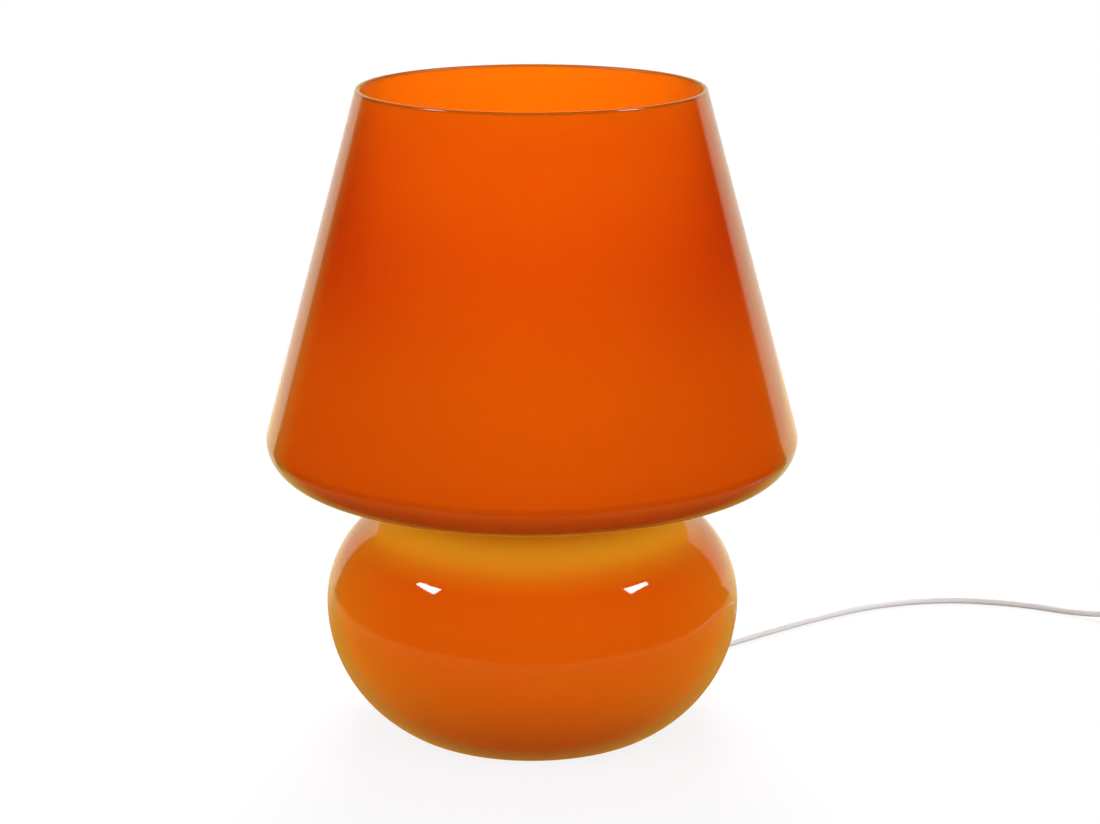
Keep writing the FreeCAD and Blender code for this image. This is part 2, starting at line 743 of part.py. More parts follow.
def bulb_pieces():
    """E27 bulb with heights from the tip of its contact."""
    tip = [
        ("0", "0"),
        ("bulb_tip_radius", "0"),
        ("bulb_contact_radius", "bulb_contact_height / 2"),
        ("bulb_contact_radius", "bulb_contact_height"),
        ("0", "bulb_contact_height"),
    ]
    turned("bulb_contact", tip, BULB)
    cone_top = "(bulb_contact_height + insulator_height)"
    cone = [
        ("0", "bulb_contact_height"),
        ("bulb_contact_radius", "bulb_contact_height"),
        ("insulator_top_radius", f"{cone_top} - bulb_cap_sheet"),
        ("insulator_top_radius", cone_top),
        ("0", cone_top),
    ]
    turned("bulb_insulator", cone, BULB)

    root = "(bulb_cap_radius - bulb_thread_depth)"
    crest_start, crest_end, valley = 0.35, 0.5, 0.85
    shell = [("insulator_top_radius - 2 * bulb_thread_depth", cone_top), (root, cone_top)]
    for i in range(SIZES["bulb_thread_count"]):
        foot = f"({cone_top} + bulb_cap_sheet + {i} * bulb_thread_pitch)"
        shell.append((root, foot))
        shell.append(("bulb_cap_radius", f"{foot} + bulb_thread_pitch * {crest_start}"))
        shell.append(("bulb_cap_radius", f"{foot} + bulb_thread_pitch * {crest_end}"))
        shell.append((root, f"{foot} + bulb_thread_pitch * {valley}"))
    bore = f"({root} - bulb_cap_sheet)"
    shell += [
        (root, "bulb_cap_height"),
        (bore, "bulb_cap_height"),
        (bore, f"{cone_top} + bulb_cap_sheet"),
        ("insulator_top_radius - 2 * bulb_thread_depth", f"{cone_top} + bulb_cap_sheet"),
    ]
    turned("bulb_cap", shell, BULB)

    middle = "(bulb_length - bulb_radius)"

    def globe_joint(inset):
        radius = f"(bulb_radius - {inset})"
        out, down = f"(bulb_neck_radius - {inset})", f"(bulb_neck_top - {middle})"
        square = f"({out}^2 + {down}^2)"
        slope = f"sqrt({square} - {radius}^2)"
        across = f"{radius} * ({radius} * {out} - {slope} * {down}) / {square}"
        up = f"{middle} + {radius} * ({radius} * {down} + {slope} * {out}) / {square}"
        return across, up

    inner = "(bulb_neck_radius - bulb_glass)"
    globe = [
        (inner, "bulb_neck_base"),
        ("bulb_neck_radius", "bulb_neck_base"),
        ("bulb_neck_radius", "bulb_neck_top"),
        (*globe_joint("0"), "left", "bulb_radius"),
        ("0", "bulb_length"),
        ("0", "bulb_length - bulb_glass", "right", "bulb_radius - bulb_glass"),
        globe_joint("bulb_glass"),
        (inner, "bulb_neck_top"),
    ]
    turned("bulb_globe", globe, BULB)

    flare = f"({inner} - bulb_gap)"
    mount = [
        ("0", "bulb_neck_base"),
        (flare, "bulb_neck_base"),
        (flare, "bulb_neck_base + bulb_glass"),
        ("bulb_press_radius", "bulb_neck_top"),
        ("bulb_press_radius", "bulb_stem_height"),
        ("0", "bulb_stem_height"),
    ]
    turned("bulb_stem", mount, BULB)
    low, high = value("bulb_stem_height"), value("filament_height")
    half, start = value("filament_spread"), value("bulb_press_radius / 2")
    points = [
        Vector(-start, 0, low),
        Vector(-start, 0, low + start),
        Vector(-half, 0, high),
        Vector(half, 0, high),
        Vector(start, 0, low + start),
        Vector(start, 0, low),
    ]
    tube("bulb_filament", points, value("filament_radius"), Vector(0, 0, value(BULB)))


def rounded_path(points, bend=None):
    """Straight runs joined by tangent arcs, and the arcs' radii. Each arc is as large as its two runs allow,
    unless bend gives its radius."""
    arc_share = 0.45
    edges, radii, start = [], [], points[0]
    for before, corner, after in zip(points, points[1:], points[2:]):
        into, onward = corner - before, after - corner
        room = arc_share * min(into.Length, onward.Length)
        into.normalize()
        onward.normalize()
        half = into.getAngle(onward) / 2
        radius = bend or room / math.tan(half)
        reach = radius * math.tan(half)
        inward = (onward - into).normalize()
        near, far = corner - into * reach, corner + onward * reach
        middle = corner + inward * (radius / math.cos(half) - radius)
        edges.append(Part.LineSegment(start, near).toShape())
        edges.append(Part.Arc(near, middle, far).toShape())
        radii.append(radius)
        start = far
    edges.append(Part.LineSegment(start, points[-1]).toShape())
    return Part.Wire(edges), radii


def sweep(path, radius):
    """A round tube along a path, whose volume is its section times its length."""
    start = path.Edges[0]
    way = start.tangentAt(start.FirstParameter)
    circle = Part.Circle(start.valueAt(start.FirstParameter), way, radius)
    solid = path.makePipeShell([Part.Wire(circle.toShape())], True, False)
    share = solid.Volume / (math.pi * radius**2 * path.Length)
    allowed = 0.01
    if abs(share - 1) > allowed:
        raise RuntimeError(f"a tube has {share:.3f} of its volume")
    return solid


def tube(label, points, radius, offset=Vector(), bend=None):
    path, radii = rounded_path(points, bend)
    piece = doc.addObject("Part::Feature", label)
    piece.Label = label
    piece.Shape = sweep(path, radius)
    piece.Placement = Placement(offset, Rotation())
    PIECES.append(piece)
    print(f"{label}: {path.Length:.0f} mm, radii {[round(r) for r in radii]}")
    return piece


def wires():
    """The cord inside the base, and its two cores inside the lampholder."""
    top = value(HOLDER) + value("wire_start")
    inside = HOLE_POINT - HOLE_AXIS * value("base_radius / 2")
    climb = value(SHOULDER) - inside.z
    lean, low_share, high_share = 0.22, 0.42, 0.82
    points = [
        HOLE_POINT + HOLE_AXIS * value("bush_sleeve_length"),
        inside,
        Vector(0, inside.y * lean, inside.z + climb * low_share),
        Vector(0, 0, inside.z + climb * high_share),
        Vector(0, 0, top),
    ]
    tube("inner_cord", points, value("cord_radius"))
    rise, end = top + value("wire_rise"), value(HOLDER) + value(INSERT_TOP)
    for label, side in (("live_wire", -1), ("neutral_wire", 1)):
        near, far = side * value("wire_spread"), side * value("wire_reach")
        points = [
            Vector(near, 0, top),
            Vector(near, 0, rise),
            Vector(far, 0, top + value("wire_top")),
            Vector(far, 0, end),
        ]
        tube(label, points, value("wire_radius"), bend=value("wire_bend"))


def switch_outline(inset):
    length, width = f"switch_length - 2 * {inset}", f"switch_width - 2 * {inset}"
    return rounded_box(length, width, f"(switch_corner - {inset})")


def place_switch(body, height="0", tilt=0):
    turn = Rotation(Vector(0, 0, 1), value("switch_turn")) * Rotation(Vector(0, 1, 0), tilt)
    body.Placement = Placement(Vector(*map(value, ("switch_x", "switch_y", height))), turn)


def switch_screw_spots():
    return (("switch_screw_x", "-switch_screw_y"), ("-switch_screw_x", "switch_screw_y"))


def switch_pieces():
    """Two-part case with a rocker, screws and terminals, with the cord along X."""
    along, aside = Vector(1, 0, 0), Vector(0, 1, 0)
    cord_way = ("-switch_length", "0", "switch_split")
    floor = "switch_wall"
    hole = "switch_screw_radius + fit_clear"

    base = new_body("switch_base")
    sketch = new_sketch(base, "XY_Plane")
    draw(sketch, switch_outline("0"))
    pad(base, sketch, "switch_split")
    sketch = new_sketch(base, "XY_Plane", floor)
    draw(sketch, switch_outline(floor))
    pocket_up(base, sketch, "switch_split")
    for x, y in switch_screw_spots():
        rod(base, "switch_boss_radius", "switch_split", (x, y, "0"))
        drill(base, hole, "switch_split", (x, y, "0"))
        drill(base, "switch_screw_head_radius + fit_clear", "switch_screw_head", (x, y, "0"))
    drill(base, "cord_radius + cord_clear", "2 * switch_length", cord_way, along)
    place_switch(base)

    cover = new_body("switch_cover")
    sketch = new_sketch(cover, "XY_Plane", "switch_split")
    draw(sketch, switch_outline("0"))
    pad(cover, sketch, "switch_height - switch_split")
    round_edges(cover, "switch_top_rounding", lambda edge: at_height(edge, value("switch_height")))
    sketch = new_sketch(cover, "XY_Plane", "switch_split")
    draw(sketch, switch_outline(floor))
    inner_height = f"(switch_height - switch_split - {floor})"
    pocket_up(cover, sketch, inner_height)
    for x, y in switch_screw_spots():
        rod(cover, "switch_boss_radius", inner_height, (x, y, "switch_split"))
        drill(cover, hole, f"{inner_height} - {floor}", (x, y, "switch_split"))
    roof = "(switch_height - switch_wall)"
    cheek_foot = "(rocker_pivot_height - cheek_drop)"
    for y in ("window_width / 2", "-window_width / 2 - cheek_thickness"):
        spot = ("-cheek_length / 2", y, cheek_foot)
        block(cover, "Additive", "cheek_length", "cheek_thickness", f"{roof} - {cheek_foot}", spot)
    window = ("-window_length / 2", "-window_width / 2", cheek_foot)
    block(cover, "Subtractive", "window_length", "window_width", "switch_height", window)
    pivot_start = ("0", "-window_width / 2 - cheek_thickness", "rocker_pivot_height")
    pivot_span = "window_width + 2 * cheek_thickness"
    drill(cover, "pivot_radius + pivot_clear", pivot_span, pivot_start, aside)
    drill(cover, "cord_radius + cord_clear", "2 * switch_length", cord_way, along)
    place_switch(cover)

    rocker = new_body("switch_rocker")
    sketch = new_sketch(rocker, "XZ_Plane")
    end = "(window_length / 2 - rocker_clear)"
    seesaw = [
        (f"-({end} - rocker_below)", "-rocker_below"),
        (f"{end} - rocker_below", "-rocker_below"),
        (end, "0"),
        (end, "rocker_ends"),
        ("0", "rocker_ends - rocker_dip"),
        (f"-{end}", "rocker_ends"),
        (f"-{end}", "0"),
    ]
    draw(sketch, seesaw)
    width = "(window_width - 2 * rocker_side_clear)"
    pad(rocker, sketch, width, symmetric=True)
    pivot = f"({width} + 2 * pivot_length)"
    rod(rocker, "pivot_radius", pivot, ("0", f"-{pivot} / 2", "0"), aside)
    place_switch(rocker, "rocker_pivot_height", value("rocker_tilt"))

    screws = new_body("switch_screws")
    for x, y in switch_screw_spots():
        rod(screws, "switch_screw_radius", "switch_screw_length", (x, y, "switch_screw_head"))
        rod(screws, "switch_screw_head_radius", "switch_screw_head / 2", (x, y, "switch_screw_head / 2"))
    place_switch(screws)

    terminals = new_body("switch_terminals")
    for side in ("", "-"):
        centre = f"{side}terminal_block_x"
        corner = (f"{centre} - terminal_block_length / 2", "-terminal_block_width / 2", floor)
        sizes = ("terminal_block_length", "terminal_block_width", "terminal_block_height")
        block(terminals, "Additive", *sizes, corner)
        drill(terminals, "terminal_radius", "terminal_block_height", (centre, "0", f"{floor} + switch_wall"))
    place_switch(terminals)


def plug_pieces(cord_end):
    """Flat two-pin plug with its sleeve. Its frame starts where the body's rear face meets the cord."""
    turn = Rotation(Vector(0, 0, 1), value("plug_turn"))
    along = turn.multVec(Vector(1, 0, 0))
    rear = cord_end - along * value("plug_cord_depth")
    middle = "plug_thickness / 2"

    body = new_body("plug_body")
    sketch = new_sketch(body, "XY_Plane")
    half, narrow = "plug_width / 2", "plug_rear_width / 2"
    side = [
        ("0", narrow),
        ("plug_rear_length", narrow),
        ("plug_shoulder_length", half),
        ("plug_length", half),
    ]
    draw(sketch, [(x, f"-{y}") for x, y in side] + side[::-1])
    pad(body, sketch, "plug_thickness")
    round_edges(body, "plug_corner", lambda edge: edge.BoundBox.ZLength > value("plug_thickness") / 2)
    faces = (0, value("plug_thickness"))
    round_edges(body, "plug_edge", lambda edge: any(at_height(edge, face) for face in faces))
    drill(body, "cord_radius + cord_clear", "plug_cord_depth", ("0", "0", middle), Vector(1, 0, 0))
    pins = new_body("plug_pins")
    for way in ("", "-"):
        root = ("plug_length - pin_root", f"{way}pin_spacing / 2", middle)
        drill(body, "pin_root_radius + pin_clear", "pin_root", root, Vector(1, 0, 0))
        rod(pins, "pin_root_radius", "pin_root", root, Vector(1, 0, 0))
        free = ("plug_length", *root[1:])
        rod(pins, "pin_radius", "pin_length", free, Vector(1, 0, 0))
    tips = value("plug_length + pin_length")
    round_edges(pins, "pin_tip", lambda edge: edge.BoundBox.XMin > tips - NEAR)

    bore = "(cord_radius + cord_clear)"
    taper = [
        (bore, "0"),
        ("plug_sleeve_tip", "0"),
        ("plug_sleeve_root", "plug_sleeve_length"),
        (bore, "plug_sleeve_length"),
    ]
    sleeve = turned("plug_sleeve", taper)
    for piece in (body, pins):
        piece.Placement = Placement(rear - Vector(0, 0, value(middle)), turn)
    lying = turn * Rotation(Vector(0, 0, 1), Vector(1, 0, 0))
    sleeve.Placement = Placement(rear - along * value("plug_sleeve_length"), lying)


def coil_path(start_run):
    """Two flat layers of half turns: inwards below, a climb where the spiral turns back, outwards above."""
    pitch, layer = value("coil_pitch"), value("coil_layer")
    centre = Vector(value("coil_x"), value("coil_y"), value(COIL_FLOOR))
    edges = []

    def half_turn(reach, side, change, height):
        """From one side of the coil to the other, clockwise from above."""
        radius = reach + change / 2
        begin = centre + Vector(side * reach, 0, height)
        middle = centre + Vector(side * (reach - radius), -side * radius, height)
        end = centre + Vector(-side * (reach + change), 0, height)
        edges.append(Part.Arc(begin, middle, end).toShape())
        return reach + change, -side

    reach, side = value("coil_radius"), 1
    lead = centre + Vector(reach, start_run, 0)
    edges.append(Part.LineSegment(lead, centre + Vector(reach, 0, 0)).toShape())
    for _ in range(int(value("coil_lower_halves"))):
        reach, side = half_turn(reach, side, -pitch / 2, 0)
    # The climb is two tilted arcs that meet half way up, each level at its outer end
    low = centre + Vector(side * reach, 0, 0)
    high = centre + Vector(-side * reach, 0, layer)
    sweep_reach = (high - low).Length / 2
    joint = (low + high) / 2 + Vector(0, -side * sweep_reach, 0)
    for begin, corner, end in (
        (low, low + Vector(0, -side * sweep_reach, 0), joint),
        (joint, high + Vector(0, -side * sweep_reach, 0), high),
    ):
        heart = begin + end - corner
        middle = heart + (corner - heart).normalize() * sweep_reach
        edges.append(Part.Arc(begin, middle, end).toShape())
    side = -side
    for _ in range(int(value("coil_upper_halves"))):
        reach, side = half_turn(reach, side, pitch / 2, layer)
    last = centre + Vector(side * reach, 0, layer)
    tail = last + Vector(0, -side * start_run, 0)
    edges.append(Part.LineSegment(last, tail).toShape())
    return Part.Wire(edges), lead, tail


def self_gap(path, radius):
    """The least gap between stretches of a wound tube that aren't neighbours along it."""
    step, apart = 1.5, 12
    points = path.discretize(Distance=step)
    return min(
        (a - b).Length - 2 * radius for i, a in enumerate(points) for b in points[i + apart :]
    )


def cords():
    """The free cord: run to the switch, link to the coil, the coil with its tie, and the tail to the plug."""
    radius = value("cord_radius")
    on_table = radius
    tip = HOLE_POINT + HOLE_AXIS * value("bush_sleeve_length")
    landing = tip + HOLE_AXIS * ((on_table - tip.z) / HOLE_AXIS.z)
    switch = Vector(value("switch_x"), value("switch_y"), value("switch_split"))
    way = Rotation(Vector(0, 0, 1), value("switch_turn")).multVec(Vector(1, 0, 0))
    inside = value("switch_length / 2 - switch_cord_depth")
    lead_in, lead_out = 32, 22
    run = [
        tip,
        landing,
        Vector(1, 212, on_table),
        Vector(4.5, 272, on_table),
        Vector(14, 329, on_table),
        Vector(41, 378, on_table),
        Vector(82, 410, on_table),
        Vector(124, 427, on_table),
        switch - way * (inside + lead_in),
        switch - way * inside,
    ]
    tube("cord_run", run, radius)

    path, coil_start, coil_end = coil_path(2 * radius)
    link = [
        switch + way * inside,
        switch + way * (inside + lead_out),
        Vector(272.7, 463.7, 6.2),
        Vector(288.3, 449.7, 4.5),
        Vector(295.5, 430, coil_start.z),
        coil_start,
    ]
    tube("cord_link", link, radius)

    coil = doc.addObject("Part::Feature", "cord_coil")
    coil.Label = "cord_coil"
    coil.Shape = sweep(path, radius)
    PIECES.append(coil)
    print(f"cord_coil: {path.Length:.0f} mm, least gap to itself {self_gap(path, radius):.2f} mm")

    plug_way = Rotation(Vector(0, 0, 1), value("plug_turn")).multVec(Vector(1, 0, 0))
    plug_axis = value("plug_thickness / 2")
    entry = Vector(299.9, 329.7, plug_axis)
    last_run = value("plug_sleeve_start + plug_sleeve_length + plug_cord_depth")
    tail = [
        coil_end,
        Vector(coil_end.x, coil_end.y - lead_out, coil_end.z),
        Vector(294.7, 353, 7.3),
        entry,
        entry + plug_way * last_run,
    ]
    tube("cord_tail", tail, radius)
    plug_pieces(tail[-1])

    tie = new_body("coil_tie")
    sketch = new_sketch(tie, "XZ_Plane")
    turns = "coil_pitch * coil_lower_halves / 2"
    depth = f"({turns} + 2 * cord_radius + 2 * tie_clear)"
    height = "(coil_layer + 2 * cord_radius + 2 * tie_clear)"
    bend = "(cord_radius + tie_clear)"
    draw(sketch, rounded_box(depth, height, bend))
    draw(sketch, rounded_box(f"{depth} + 2 * tie_sheet", f"{height} + 2 * tie_sheet", f"({bend} + tie_sheet)"))
    pad(tie, sketch, "tie_width", symmetric=True)
    tie.setExpression("Placement.Base.x", bound(f"coil_x - coil_radius + {turns} / 2"))
    tie.setExpression("Placement.Base.y", bound("coil_y"))
    tie.setExpression("Placement.Base.z", bound(f"{COIL_FLOOR} + coil_layer / 2"))


def write():
    """Checks every object, and then writes each piece to its own file."""
    doc.recompute()
    for item in doc.Objects:
        if {"Invalid", "Error"} & set(item.State):
            raise RuntimeError(f"{item.Label} failed: {item.State}")
    for piece in PIECES:
        if piece.Shape.isNull() or not piece.Shape.isValid() or not piece.Shape.Solids:
            raise RuntimeError(f"{piece.Label} has no sound solid")
    os.makedirs("parts", exist_ok=True)
    for piece in PIECES:
        piece.Shape.exportStep(f"parts/{piece.Label}.step")
        print(f"{piece.Label}: {len(piece.Shape.Solids)} solids, {piece.Shape.Volume:.0f} mm3")


glass_body()
cord_bush()
neck_pieces()
stem_pieces()
holder_pieces()
bulb_pieces()
wires()
switch_pieces()
cords()
write()
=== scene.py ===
"""Looks of the orange glass table lamp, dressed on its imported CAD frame."""

import math

import bpy
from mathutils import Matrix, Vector


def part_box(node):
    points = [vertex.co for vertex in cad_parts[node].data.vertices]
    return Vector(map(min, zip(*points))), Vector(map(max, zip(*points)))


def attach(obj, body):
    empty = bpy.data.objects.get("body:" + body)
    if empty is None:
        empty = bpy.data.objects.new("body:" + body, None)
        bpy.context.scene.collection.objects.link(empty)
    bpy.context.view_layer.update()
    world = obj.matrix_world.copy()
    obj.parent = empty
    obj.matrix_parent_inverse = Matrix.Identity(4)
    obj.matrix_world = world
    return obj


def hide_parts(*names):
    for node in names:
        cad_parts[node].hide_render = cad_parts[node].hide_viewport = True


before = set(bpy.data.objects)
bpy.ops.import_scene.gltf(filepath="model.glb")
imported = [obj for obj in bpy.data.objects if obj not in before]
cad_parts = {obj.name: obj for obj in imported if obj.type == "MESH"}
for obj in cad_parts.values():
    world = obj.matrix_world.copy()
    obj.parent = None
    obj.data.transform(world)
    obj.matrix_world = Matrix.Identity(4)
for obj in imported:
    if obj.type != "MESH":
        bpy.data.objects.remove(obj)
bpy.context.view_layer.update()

bl_info = {
    "name": "Glass Table Lamp",
    "version": (1, 0, 0),
    "blender": (4, 5, 0),
    "location": "View3D > Sidebar > Lamp",
    "description": "Dresses a glass table lamp: blown glass, cord, fittings and stage",
    "category": "Object",
}

_, GLASS_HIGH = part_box("glass_body")


class LampGlass(bpy.types.PropertyGroup):
    """Sizes and colours of the blown glass"""

    height: bpy.props.FloatProperty(
        name="Height", description="Top of the rim above the table",
        default=GLASS_HIGH.z, unit="LENGTH",
    )
    shade_radius: bpy.props.FloatProperty(
        name="Shade radius", description="Widest reach of the shade",
        default=GLASS_HIGH.x, unit="LENGTH",
    )
    rim_radius: bpy.props.FloatProperty(
        name="Rim radius", description="Outer radius of the open top",
        default=0.111, unit="LENGTH",
    )
    edge_rounding: bpy.props.FloatProperty(
        name="Edge rounding", description="Round of the shade's lower edge",
        default=0.021, unit="LENGTH",
    )
    underside: bpy.props.FloatProperty(
        name="Underside", description="Height of the shade's flat underside",
        default=0.1736, unit="LENGTH",
    )
    neck_radius: bpy.props.FloatProperty(
        name="Neck radius", description="Outer radius of the neck",
        default=0.036, unit="LENGTH",
    )
    neck_rounding: bpy.props.FloatProperty(
        name="Neck rounding", description="Fillet at both ends of the neck",
        default=0.011, unit="LENGTH",
    )
    base_radius: bpy.props.FloatProperty(
        name="Base radius", description="Widest reach of the base",
        default=0.1358, unit="LENGTH",
    )
    base_waist: bpy.props.FloatProperty(
        name="Base waist", description="Height of the base's widest ring",
        default=0.0813, unit="LENGTH",
    )
    upper_rounding: bpy.props.FloatProperty(
        name="Upper rounding", description="Round of the base above its waist",
        default=0.069, unit="LENGTH",
    )
    lower_rounding: bpy.props.FloatProperty(
        name="Lower rounding", description="Round of the base below its waist",
        default=0.093, unit="LENGTH",
    )
    foot_rounding: bpy.props.FloatProperty(
        name="Foot rounding", description="Round between the base and the table",
        default=0.022, unit="LENGTH",
    )
    kick_radius: bpy.props.FloatProperty(
        name="Kick radius", description="Inner edge of the ring the lamp stands on",
        default=0.06, unit="LENGTH",
    )
    kick_depth: bpy.props.FloatProperty(
        name="Kick depth", description="Rise of the foot's middle",
        default=0.003, unit="LENGTH",
    )
    wall: bpy.props.FloatProperty(
        name="Wall", description="Thickness of the glass",
        default=0.003, unit="LENGTH",
    )
    hole_radius: bpy.props.FloatProperty(
        name="Hole radius", description="Drilled hole for the cord",
        default=0.005, unit="LENGTH",
    )
    hole_height: bpy.props.FloatProperty(
        name="Hole height", description="Middle of the drilled hole above the table",
        default=0.03, unit="LENGTH",
    )
    turns: bpy.props.IntProperty(
        name="Steps around", description="Faces around the lamp's axis",
        default=192, min=48, max=256,
    )
    orange: bpy.props.FloatVectorProperty(
        name="Orange", description="Colour of the shade's upper half",
        default=(0.70, 0.050, 0.001), subtype="COLOR",
    )
    low_orange: bpy.props.FloatVectorProperty(
        name="Low orange", description="Colour of the shade's lower half",
        default=(0.83, 0.138, 0.001), subtype="COLOR",
    )
    base_orange: bpy.props.FloatVectorProperty(
        name="Base orange", description="Colour of the middle of the base",
        default=(0.95, 0.170, 0.002), subtype="COLOR",
    )
    base_low_orange: bpy.props.FloatVectorProperty(
        name="Low base orange", description="Lighter colour of the base below its waist",
        default=(0.96, 0.198, 0.004), subtype="COLOR",
    )
    # Painted shade: a darker orange on the faces that turn down under the shade's edge.
    shaded_edge_orange: bpy.props.FloatVectorProperty(
        name="Edge orange", description="Deeper colour where the shade turns under",
        default=(0.25, 0.011, 0.002), subtype="COLOR",
    )
    # Painted light: a lighter copy of the glass's orange on the inner face, standing in for light that comes
    # through the wall.
    inner_lit_orange: bpy.props.FloatVectorProperty(
        name="Inner orange", description="Colour of the inside, seen through the open top",
        default=(0.92, 0.115, 0.001), subtype="COLOR",
    )
    # Partly painted light: a yellower orange on the base's shoulder and the shade's underside, made bright
    # as a painted glow in the shadow under the shade.
    amber: bpy.props.FloatVectorProperty(
        name="Amber", description="Thinner, yellower glass on the shoulder of the base",
        default=(1.0, 0.595, 0.025), subtype="COLOR",
    )
    limb: bpy.props.FloatVectorProperty(
        name="Limb", description="Browner tone where one looks along the wall",
        default=(0.5, 0.36, 0.05), subtype="COLOR",
    )
    lip: bpy.props.FloatVectorProperty(
        name="Lip", description="Dark line where one looks into the depth of the rim",
        default=(0.15, 0.012, 0.0005), subtype="COLOR",
    )
    # Painted shade: a darker, browner orange towards the foot, where the base turns under.
    foot_shade_umber: bpy.props.FloatVectorProperty(
        name="Umber", description="Thicker, browner glass at the foot",
        default=(0.74, 0.102, 0.005), subtype="COLOR",
    )
    glow: bpy.props.FloatVectorProperty(
        name="Glow", description="Light that comes through one face of the wall",
        default=(1.0, 0.5, 0.02), subtype="COLOR",
    )
    share_through: bpy.props.FloatProperty(
        name="Share through", description="Share of light that goes on through the shade's outer face",
        default=0.5, min=0, max=1, subtype="FACTOR",
    )
    inner_share: bpy.props.FloatProperty(
        name="Inner share", description="Share of light that goes on through the inner face",
        default=0.56, min=0, max=1, subtype="FACTOR",
    )
    base_share: bpy.props.FloatProperty(
        name="Base share", description="Share of light that goes on into the base",
        default=0.46, min=0, max=1, subtype="FACTOR",
    )
    # Painted light: a low share through makes the amber ring under the shade show brighter.
    ring_share: bpy.props.FloatProperty(
        name="Ring share", description="Share of light that goes on through the amber ring under the shade",
        default=0.05, min=0, max=1, subtype="FACTOR",
    )


class LampCord(bpy.types.PropertyGroup):
    """Sizes and colour of the cord"""

    diameter: bpy.props.FloatProperty(
        name="Diameter", description="Thickness of the round cord",
        default=0.005, unit="LENGTH",
    )
    coil_radius: bpy.props.FloatProperty(
        name="Coil radius", description="Outer turn of the put-away coil",
        default=0.041, unit="LENGTH",
    )
    coil_pitch: bpy.props.FloatProperty(
        name="Coil pitch", description="Step from turn to turn",
        default=0.0066, unit="LENGTH",
    )
    coil_layer: bpy.props.FloatProperty(
        name="Coil layer", description="Step from the lower layer to the upper one",
        default=0.0059, unit="LENGTH",
    )
    colour: bpy.props.FloatVectorProperty(
        name="Colour", description="White of the cord's sheath",
        default=(0.86, 0.86, 0.86), subtype="COLOR",
    )


class LampStage(bpy.types.PropertyGroup):
    """Camera and even light"""

    camera_distance: bpy.props.FloatProperty(
        name="Camera distance", description="From the lamp's axis, along the floor",
        default=1.554, unit="LENGTH",
    )
    camera_height: bpy.props.FloatProperty(
        name="Camera height", description="Above the floor",
        default=0.6346, unit="LENGTH",
    )
    camera_azimuth: bpy.props.FloatProperty(
        name="Camera azimuth", description="Turn of the camera about the lamp",
        default=math.radians(50), subtype="ANGLE",
    )
    camera_pitch: bpy.props.FloatProperty(
        name="Camera pitch", description="How far the camera looks down",
        default=0.268, subtype="ANGLE",
    )
    camera_yaw: bpy.props.FloatProperty(
        name="Camera yaw", description="How far the camera looks past the lamp's axis",
        default=0.0075, subtype="ANGLE",
    )
    lens: bpy.props.FloatProperty(
        name="Lens", description="Focal length in millimetres",
        default=80.97, unit="CAMERA",
    )
    ambient: bpy.props.FloatProperty(
        name="Ambient", description="Even light from the room",
        default=0.48, min=0, max=2,
    )


class Bands:
    """Where the glass's colours change: heights in metres, and turns of its face away from the eye."""

    # Heights of the colours above the table, from the foot up.
    FOOT, BASE_LOW, BASE_MIDDLE, BASE_HIGH, SHOULDER = 0.004, 0.066, 0.1, 0.121, 0.147
    SHADE_LOW, SHADE_HIGH = 0.24, 0.345
    # Heights above the shade's underside between which amber gives way to orange.
    SEAM_LOW, SEAM_HIGH = 0.0005, 0.002
    # Depths below the rim's top, in thicknesses of the wall, between which its dark line sets in.
    LIP = (0.75, 0.4)
    # Faint streaks along the axis, and how they lighten and darken the colour.
    STREAK_SCALE, STREAK_DETAIL, STREAK_STRETCH, STREAK_SHADE = 9.0, 3.0, (1, 1, 0.12), (0.93, 1.05)
    # Upward slant of the face, from the cone to the underside, over which the painted shade of the edge sets
    # in.
    FOLD = (0.38, -0.7)
    # Radius times outward slant of the face, below nought on the inside of the wall.
    INSIDE = (-0.01, -0.03)
    # Turns of the face over which the colour changes, how much it does, and the heights where that sets in:
    # painted shade on the shade's sides, a painted glow on the base's edges, and a browner tone.
    DEEPER, DEEPEST, DEEPER_RISE = (0.3, 0.6), 0.8, (0.25, 0.38)
    BASE_LIMB, BASE_LIMB_SHARE, BASE_LIMB_RISE = (0.15, 0.6), 0.22, (0.01, 0.05)
    LIMB, LIMB_SHARE = (0.57, 0.74), 0.46
    # Turns of the face over which less and less light comes through.
    GRAZING = (0.45, 0.95)
    # Heights over which the amber ring lets less light through and shows more of its own colour, a painted
    # glow in the shadow under the shade.
    RING = (0.13, 0.146)


class Shine:
    """Gloss of the glass, its roughness outside and inside, and its warm sheen."""

    IOR, ROUGHNESS = 1.62, (0.035, 0.4)
    SHEEN, SHEEN_ROUGHNESS, SHEEN_TINT = 0.25, 0.35, (1.0, 0.5, 0.05, 1)


class Steps:
    """Straight runs in each stretch of the glass's outline, and how its mesh is started and drilled."""

    KICK, FOOT, LOWER, UPPER, NECK, EDGE, CONE, RIM = 10, 8, 18, 26, 10, 24, 14, 10
    START_SIZE, MERGE_DISTANCE = 0.001, 1e-6
    DRILL_SIDES, DRILL_WALLS, SHARP = 48, 6, math.radians(50)


